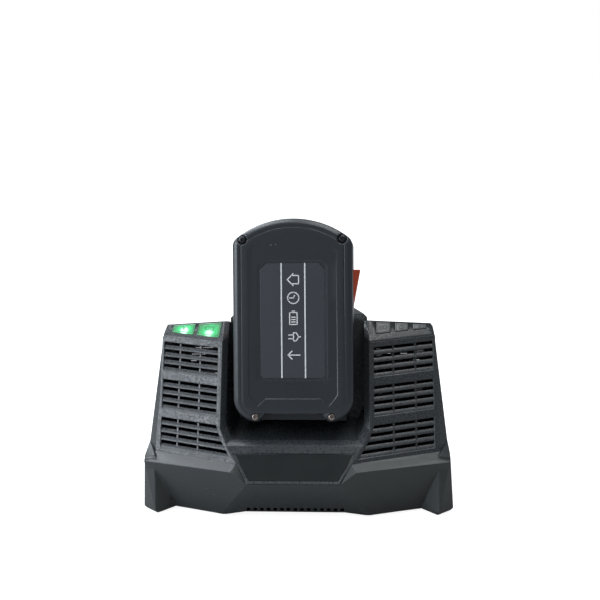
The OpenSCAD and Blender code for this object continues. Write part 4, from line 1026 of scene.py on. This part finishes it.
# -------- indicator lenses
def ridge_t(s):
    roof = Vector((0.02, math.tan(rad(20)), 1)).normalized()
    rise = WING_H - LED_Z
    top = Vector((0, rise / math.cos(YAW), rise))
    return (roof.dot(top) - s * roof.dot(ALONG)) / roof.dot(UP_SLOPE)


def window_loop(span, low, slant):
    def top(s):
        return ridge_t(s + 8 * slant) - 1.3
    (a, b) = span
    return [(a, low), (b, low), (b + slant * (top(b) - low), top(b)), (a + slant * (top(a) - low), top(a))]


def strokes(lines, width):
    """Flat quads along open lines, as (points, faces)."""
    pts, faces = [], []
    for line in lines:
        for a, b in zip(line, line[1:]):
            a, b = Vector(a), Vector(b)
            w = (b - a).normalized() * (width / 2)
            n = Vector((-w.y, w.x))
            k = len(pts)
            pts += [a - w - n, b + w - n, b + w + n, a - w + n]
            faces.append([k, k + 1, k + 2, k + 3])
    return pts, faces


# generic pictograms on a unit square, as open lines
BATTERY = [[(0.05, 0.25), (0.85, 0.25), (0.85, 0.75), (0.05, 0.75), (0.05, 0.25)],
           [(0.95, 0.42), (0.95, 0.58)]]
BATTERY += [[(x, 0.38), (x, 0.62)] for x in (0.22, 0.38, 0.54)]
BOLT = [[(0.62, 0.95), (0.3, 0.48), (0.56, 0.52), (0.36, 0.05)]]
TIMER = [[(0.5 + 0.42 * math.cos(rad(a)), 0.5 + 0.42 * math.sin(rad(a))) for a in range(0, 361, 30)],
         [(0.5, 0.76), (0.5, 0.5), (0.68, 0.4)]]
PLUG_SIGN = [[(0.2, 0.5), (0.2, 0.3), (0.5, 0.12), (0.8, 0.3), (0.8, 0.5), (0.2, 0.5)],
             [(0.36, 0.5), (0.36, 0.85)], [(0.64, 0.5), (0.64, 0.85)], [(0.5, 0.12), (0.5, 0.0)]]
HOUSE = [[(0.05, 0.5), (0.5, 0.95), (0.95, 0.5)], [(0.18, 0.6), (0.18, 0.08), (0.82, 0.08), (0.82, 0.6)]]
ARROW = [[(0.5, 0.02), (0.5, 0.95)], [(0.2, 0.62), (0.5, 0.95), (0.8, 0.62)]]


def plated(name, loop, levels, place, material):
    """A small plate from a convex loop: levels are (inset, rise), lowest first; the last is its face."""
    n = len(loop)
    pts = [place(x, y, rise) for inset, rise in levels for x, y in inset_loop(loop, inset)]
    faces = ring_faces(n, len(levels)) + [list(reversed(range(n)))]
    faces.append([(len(levels) - 1) * n + i for i in range(n)])
    obj = mesh_piece(name, pts, faces, material)
    outwards(obj)
    smooth_by(obj, 30)
    return obj


def drawn(name, lines, width, low, high, fit_in, place, material):
    """Pictogram lines on a face: fit_in maps the unit square, place maps (a, b, rise)."""
    pts, faces = strokes([[fit_in(x, y) for x, y in line] for line in lines], width)
    n = len(pts)
    points = [place(p.x, p.y, high) for p in pts] + [place(p.x, p.y, low) for p in pts]
    solid = []
    for f in faces:
        solid.append(f)
        solid.append([i + n for i in reversed(f)])
        solid += [[f[i - 1], f[i - 1] + n, f[i] + n, f[i]] for i in range(4)]
    obj = mesh_piece(name, points, solid, material)
    outwards(obj)
    return obj


def lit_lens(name, hot_points):
    """Clear green moulding lit from below: white-hot at the lamp, deep green at the rim."""
    n = Nodes(name)
    near = None
    for p in hot_points:
        d = n.new("ShaderNodeVectorMath", operation="DISTANCE")
        n.link(n.place, d.inputs[0])
        d.inputs[1].default_value = p * MM
        near = d.outputs["Value"] if near is None else n.math("MINIMUM", near, d.outputs["Value"])
    wobble = n.math("MULTIPLY", n.math("SUBTRACT", n.noise(420, 3, 0.6), 0.5), 0.0030)
    near = n.math("ADD", near, wobble)
    glow = n.ramp(near, 0.0014, 0.0044, 1, 0, smooth=True)
    halo = n.ramp(near, 0.0030, 0.0100, 1, 0, smooth=True)
    colour = n.mix(halo, (0.035, 0.20, 0.07), (0.03, 0.60, 0.17))
    colour = n.mix(glow, colour, (0.72, 1.0, 0.86))
    n.set("Base Color", n.mix(halo, (0.06, 0.16, 0.08), (0.05, 0.4, 0.14)))
    n.set("Emission Color", colour)
    n.set("Emission Strength", n.math("ADD", n.math("MULTIPLY", glow, 0.8),
                                      n.ramp(n.noise(700, 2), 0.35, 0.7, 0.36, 0.62)))
    n.set_rough(n.noise(500, 2), 0.12, 0.26)
    n.set("Normal", n.bump(n.noise(700, 2), 0.25, 0.0002, n.soft_edges(0.2)))
    n.set("Coat Weight", 0.3)
    return n.mat


def make_lenses():
    def left_place(s, t, rise):
        p = led_point(s, t, rise)
        return Vector((-p.x, p.y, p.z))

    hot = [left_place(12.2, 4.9, 0.3), left_place(31.4, 4.5, 0.3)]
    lit = lit_lens("lens_lit_green", hot)
    dull = glossy("lens_smoke", (0.09, 0.094, 0.094), rough=0.28)
    print_dark = glossy("lens_print_dark", (0.012, 0.016, 0.015), rough=0.35)
    print_green = glossy("lens_print_green", (0.004, 0.05, 0.02), rough=0.35)
    items = [("lens_left_inner", (4, 21), 2.8, 0.15, left_place, lit, print_green, BATTERY),
             ("lens_left_outer", (23.8, 40.6), 2.8, 0.15, left_place, lit, print_green, BOLT),
             ("lens_right_inner", (6.2, 16.2), 4.6, 0.3, led_point, dull, print_dark, BATTERY),
             ("lens_right_middle", (19.6, 28.8), 4.6, 0.3, led_point, dull, print_dark, TIMER),
             ("lens_right_outer", (32.4, 42.2), 4.6, 0.3, led_point, dull, print_dark, BOLT)]
    for node, span, low, slant, place, body, ink, sign in items:
        loop = window_loop(span, low, slant)
        levels = [(0, -2.6), (0, 0.12), (0.07, 0.28), (0.22, 0.38), (0.4, 0.4)]
        parts = [plated("lens", rounded_loop(loop, 0.7), levels, place, body)]
        # a thin printed frame just inside the edge, and a pictogram in the upper half
        rim = inset_loop(loop, 0.85)
        parts.append(drawn("rim", [rim + rim[:1]], 0.34, 0.3, 0.43, lambda x, y: (x, y), place, ink))
        cs = sum(p[0] for p in loop) / 4
        ct = sum(p[1] for p in loop) / 4
        high = min(loop[2][1], loop[3][1]) - low
        size = high * 0.62
        lift = 0.10 * high if body is lit else 0.0

        def fit_in(x, y, cs=cs, ct=ct + lift, size=size, slant=slant):
            v = (y - 0.5) * size
            return (cs + (x - 0.5) * size * 1.5 + slant * v, ct + v)
        parts.append(drawn("sign", sign, 0.42, 0.3, 0.43, fit_in, place, ink))
        obj = join(node + "_window", parts)
        smooth_by(obj, 30)
        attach(obj, "charger")
        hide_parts(node)


make_lenses()


# -------- pack label
def make_label():
    film = Nodes("label_film")
    fine = film.noise(1500, 2, 0.6)
    broad = film.noise(30, 3, 0.5)
    film.set("Base Color", film.mix(broad, (0.028, 0.031, 0.038), (0.036, 0.039, 0.047)))
    film.set_rough(fine, 0.36, 0.5)
    film.set("Normal", film.bump(fine, 0.28, 0.00012, film.soft_edges(0.15)))
    ink = Nodes("label_white")
    worn = ink.noise(260, 4, 0.7)
    ink.set("Base Color", ink.mix(ink.ramp(worn, 0.55, 0.8), (0.66, 0.67, 0.68), (0.3, 0.31, 0.32)))
    ink.set("Roughness", 0.45)

    def place(x, z, rise):
        return pack_point(x, LABEL_DEPTH - rise, z)

    levels = [(0, -0.3), (0, -0.06), (0.08, -0.01), (0.22, 0)]
    parts = [plated("film", label_loop(0), levels, place, film.mat)]
    for x in (-6.9, 8.0):
        line = [[(x, LABEL_Z0 + 0.4), (x, LABEL_Z1 - 0.4)]]
        parts.append(drawn("stripe", line, 0.78, -0.05, 0.02, lambda a, b: (a, b), place, ink.mat))
    # pictograms are turned a quarter, as the label is read from its side
    for sign, z, size in ((HOUSE, 90, 8.2), (TIMER, 78.5, 8.6), (BATTERY, 66, 9.4), (PLUG_SIGN, 54, 8.6),
                          (ARROW, 42.5, 8.2)):
        def fit_in(x, y, z=z, size=size):
            return (0.6 + (0.5 - y) * size, z + (x - 0.5) * size)
        parts.append(drawn("sign", sign, 0.62, -0.05, 0.02, fit_in, place, ink.mat))
    obj = join("pack_label_film", parts)
    smooth_by(obj, 30)
    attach(obj, "pack")
    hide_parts("pack_label")


make_label()


# -------- screws
def screw_head(name, centre, axis, radius, material, dome):
    """A pan head with a cross recess; axis points out of the head."""
    axis = Vector(axis).normalized()
    profile = [(-3, radius * 0.45), (-1.3, radius * 0.5), (-1.25, radius), (-0.35, radius),
               (-0.15, radius * 0.94), (dome * 0.35, radius * 0.8), (dome * 0.75, radius * 0.5),
               (dome * 0.95, radius * 0.2), (dome, 0.02)]
    head = turned(name, profile, centre, axis, material, 40)
    u = axis.orthogonal().normalized()
    v = axis.cross(u)
    for turn in (0, 90):
        a = u * math.cos(rad(turn + 25)) + v * math.sin(rad(turn + 25))
        b = axis.cross(a)
        w, length = radius * 0.13, radius * 0.62
        pts = []
        # each arm of the recess is shorter and a little narrower at its bottom
        for h, long, wide in ((dome + 0.5, 1.0, 1), (dome - 0.9, 0.35, 0.8)):
            for sa, sb in ((-1, -1), (1, -1), (1, 1), (-1, 1)):
                pts.append(Vector(centre) + axis * h + a * sa * length * long + b * sb * w * wide)
        faces = [[3, 2, 1, 0], [4, 5, 6, 7]] + ring_faces(4, 2)
        cutter = mesh_piece("slot", pts, faces)
        outwards(cutter)
        cut_away(head, cutter)
    smooth_by(head, 32)
    return head


def make_pack_screws():
    for node, (x, z), seat, r, material, dome in (
            ("pack_screws_upper", UPPER_SCREW, 1.9, 2.5, BLACK_METAL, 0.55),
            ("pack_screws_lower", LOWER_SCREW, 0.6, 2.1, BRASSY, 0.22)):
        heads = [screw_head("head", pack_point(s * x, seat, z), -DEPTH, r, material, dome) for s in (-1, 1)]
        shank = [(-seat - 0.9, 1.35), (-27, 1.35), (-28, 0.5)]
        heads += [turned("shank", shank, pack_point(s * x, 0, z), -DEPTH, material, 16) for s in (-1, 1)]
        obj = join(node + "_heads", heads)
        smooth_by(obj, 32)
        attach(obj, "pack")
        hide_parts(node)


make_pack_screws()


# -------- small mouldings with softened edges
for node, material, width, least, angle in (
        ("bib_plate", BIB, 0.3, 2.0, 20), ("left_release_button", ORANGE, 0.55, 2.0, 20),
        ("right_release_button", ORANGE, 0.55, 2.0, 20)):
    piece = refined(node, material, width=width, least=least, angle=angle, small=0.5e-6)


# -------- light, floor and background
def make_world():
    """White for the camera, a dim cool surrounding for every other ray."""
    world = bpy.data.worlds.new("studio")
    SCENE.world = world
    world.use_nodes = True
    nodes, link = world.node_tree.nodes, world.node_tree.links.new
    nodes.clear()
    out, seen, lit, mix, path = (nodes.new("ShaderNode" + kind) for kind in (
        "OutputWorld", "Background", "Background", "MixShader", "LightPath"))
    for node, colour, strength in ((seen, (1, 1, 1, 1), 1.0), (lit, (0.9, 0.96, 1, 1), 0.28)):
        node.inputs["Color"].default_value = colour
        node.inputs["Strength"].default_value = strength
    link(path.outputs["Is Camera Ray"], mix.inputs["Fac"])
    link(lit.outputs[0], mix.inputs[1])
    link(seen.outputs[0], mix.inputs[2])
    link(mix.outputs[0], out.inputs["Surface"])


def area(name, place, target, size, radiance, colour=(1, 1, 1), size_y=None):
    """A soft box that looks radiance times as bright as a white surface."""
    data = bpy.data.lights.new(name, "AREA")
    data.shape = "RECTANGLE"
    data.size = size
    data.size_y = size_y or size
    data.energy = radiance * math.pi * data.size * data.size_y
    data.color = colour
    obj = placed(name, data)
    obj.location = place
    obj.rotation_euler = (Vector(target) - Vector(place)).to_track_quat("-Z", "Y").to_euler()
    obj.visible_camera = False


make_world()
area("window", (-1.35, -0.52, 0.6), (-0.05, 0, 0.07), 1.3, 6.8, (0.86, 0.93, 1), size_y=0.9)
area("back_left", (-0.72, 0.68, 1.1), (-0.05, 0, 0.08), 0.85, 5.8, (0.88, 0.94, 1), size_y=0.85)
area("ceiling", (0.4, -0.04, 1.3), (0.02, -0.02, 0.1), 1.25, 4.8, (0.97, 0.99, 1), size_y=0.55)
area("overhead", (-0.27, 0.02, 1.0), (-0.05, -0.03, 0.05), 0.36, 9.0, (0.93, 0.97, 1), size_y=0.34)


def make_floor():
    n = Nodes("floor")
    n.set("Base Color", n.mix(n.noise(6), (0.44, 0.44, 0.44), (0.47, 0.47, 0.47)))
    n.set("Roughness", 0.8)
    n.set("Specular IOR Level", 0.2)
    path = n.new("ShaderNodeLightPath")
    n.set("Emission Color", (1, 1, 1))
    n.set("Emission Strength", n.math("MULTIPLY", path.outputs["Is Camera Ray"], 0.91))
    bpy.ops.mesh.primitive_plane_add(size=30, location=(0, 0, 0))
    floor = bpy.context.object
    floor.name = "floor"
    floor.data.materials.append(n.mat)


make_floor()
SCENE.view_settings.view_transform = "Standard"

bpy.context.view_layer.update()
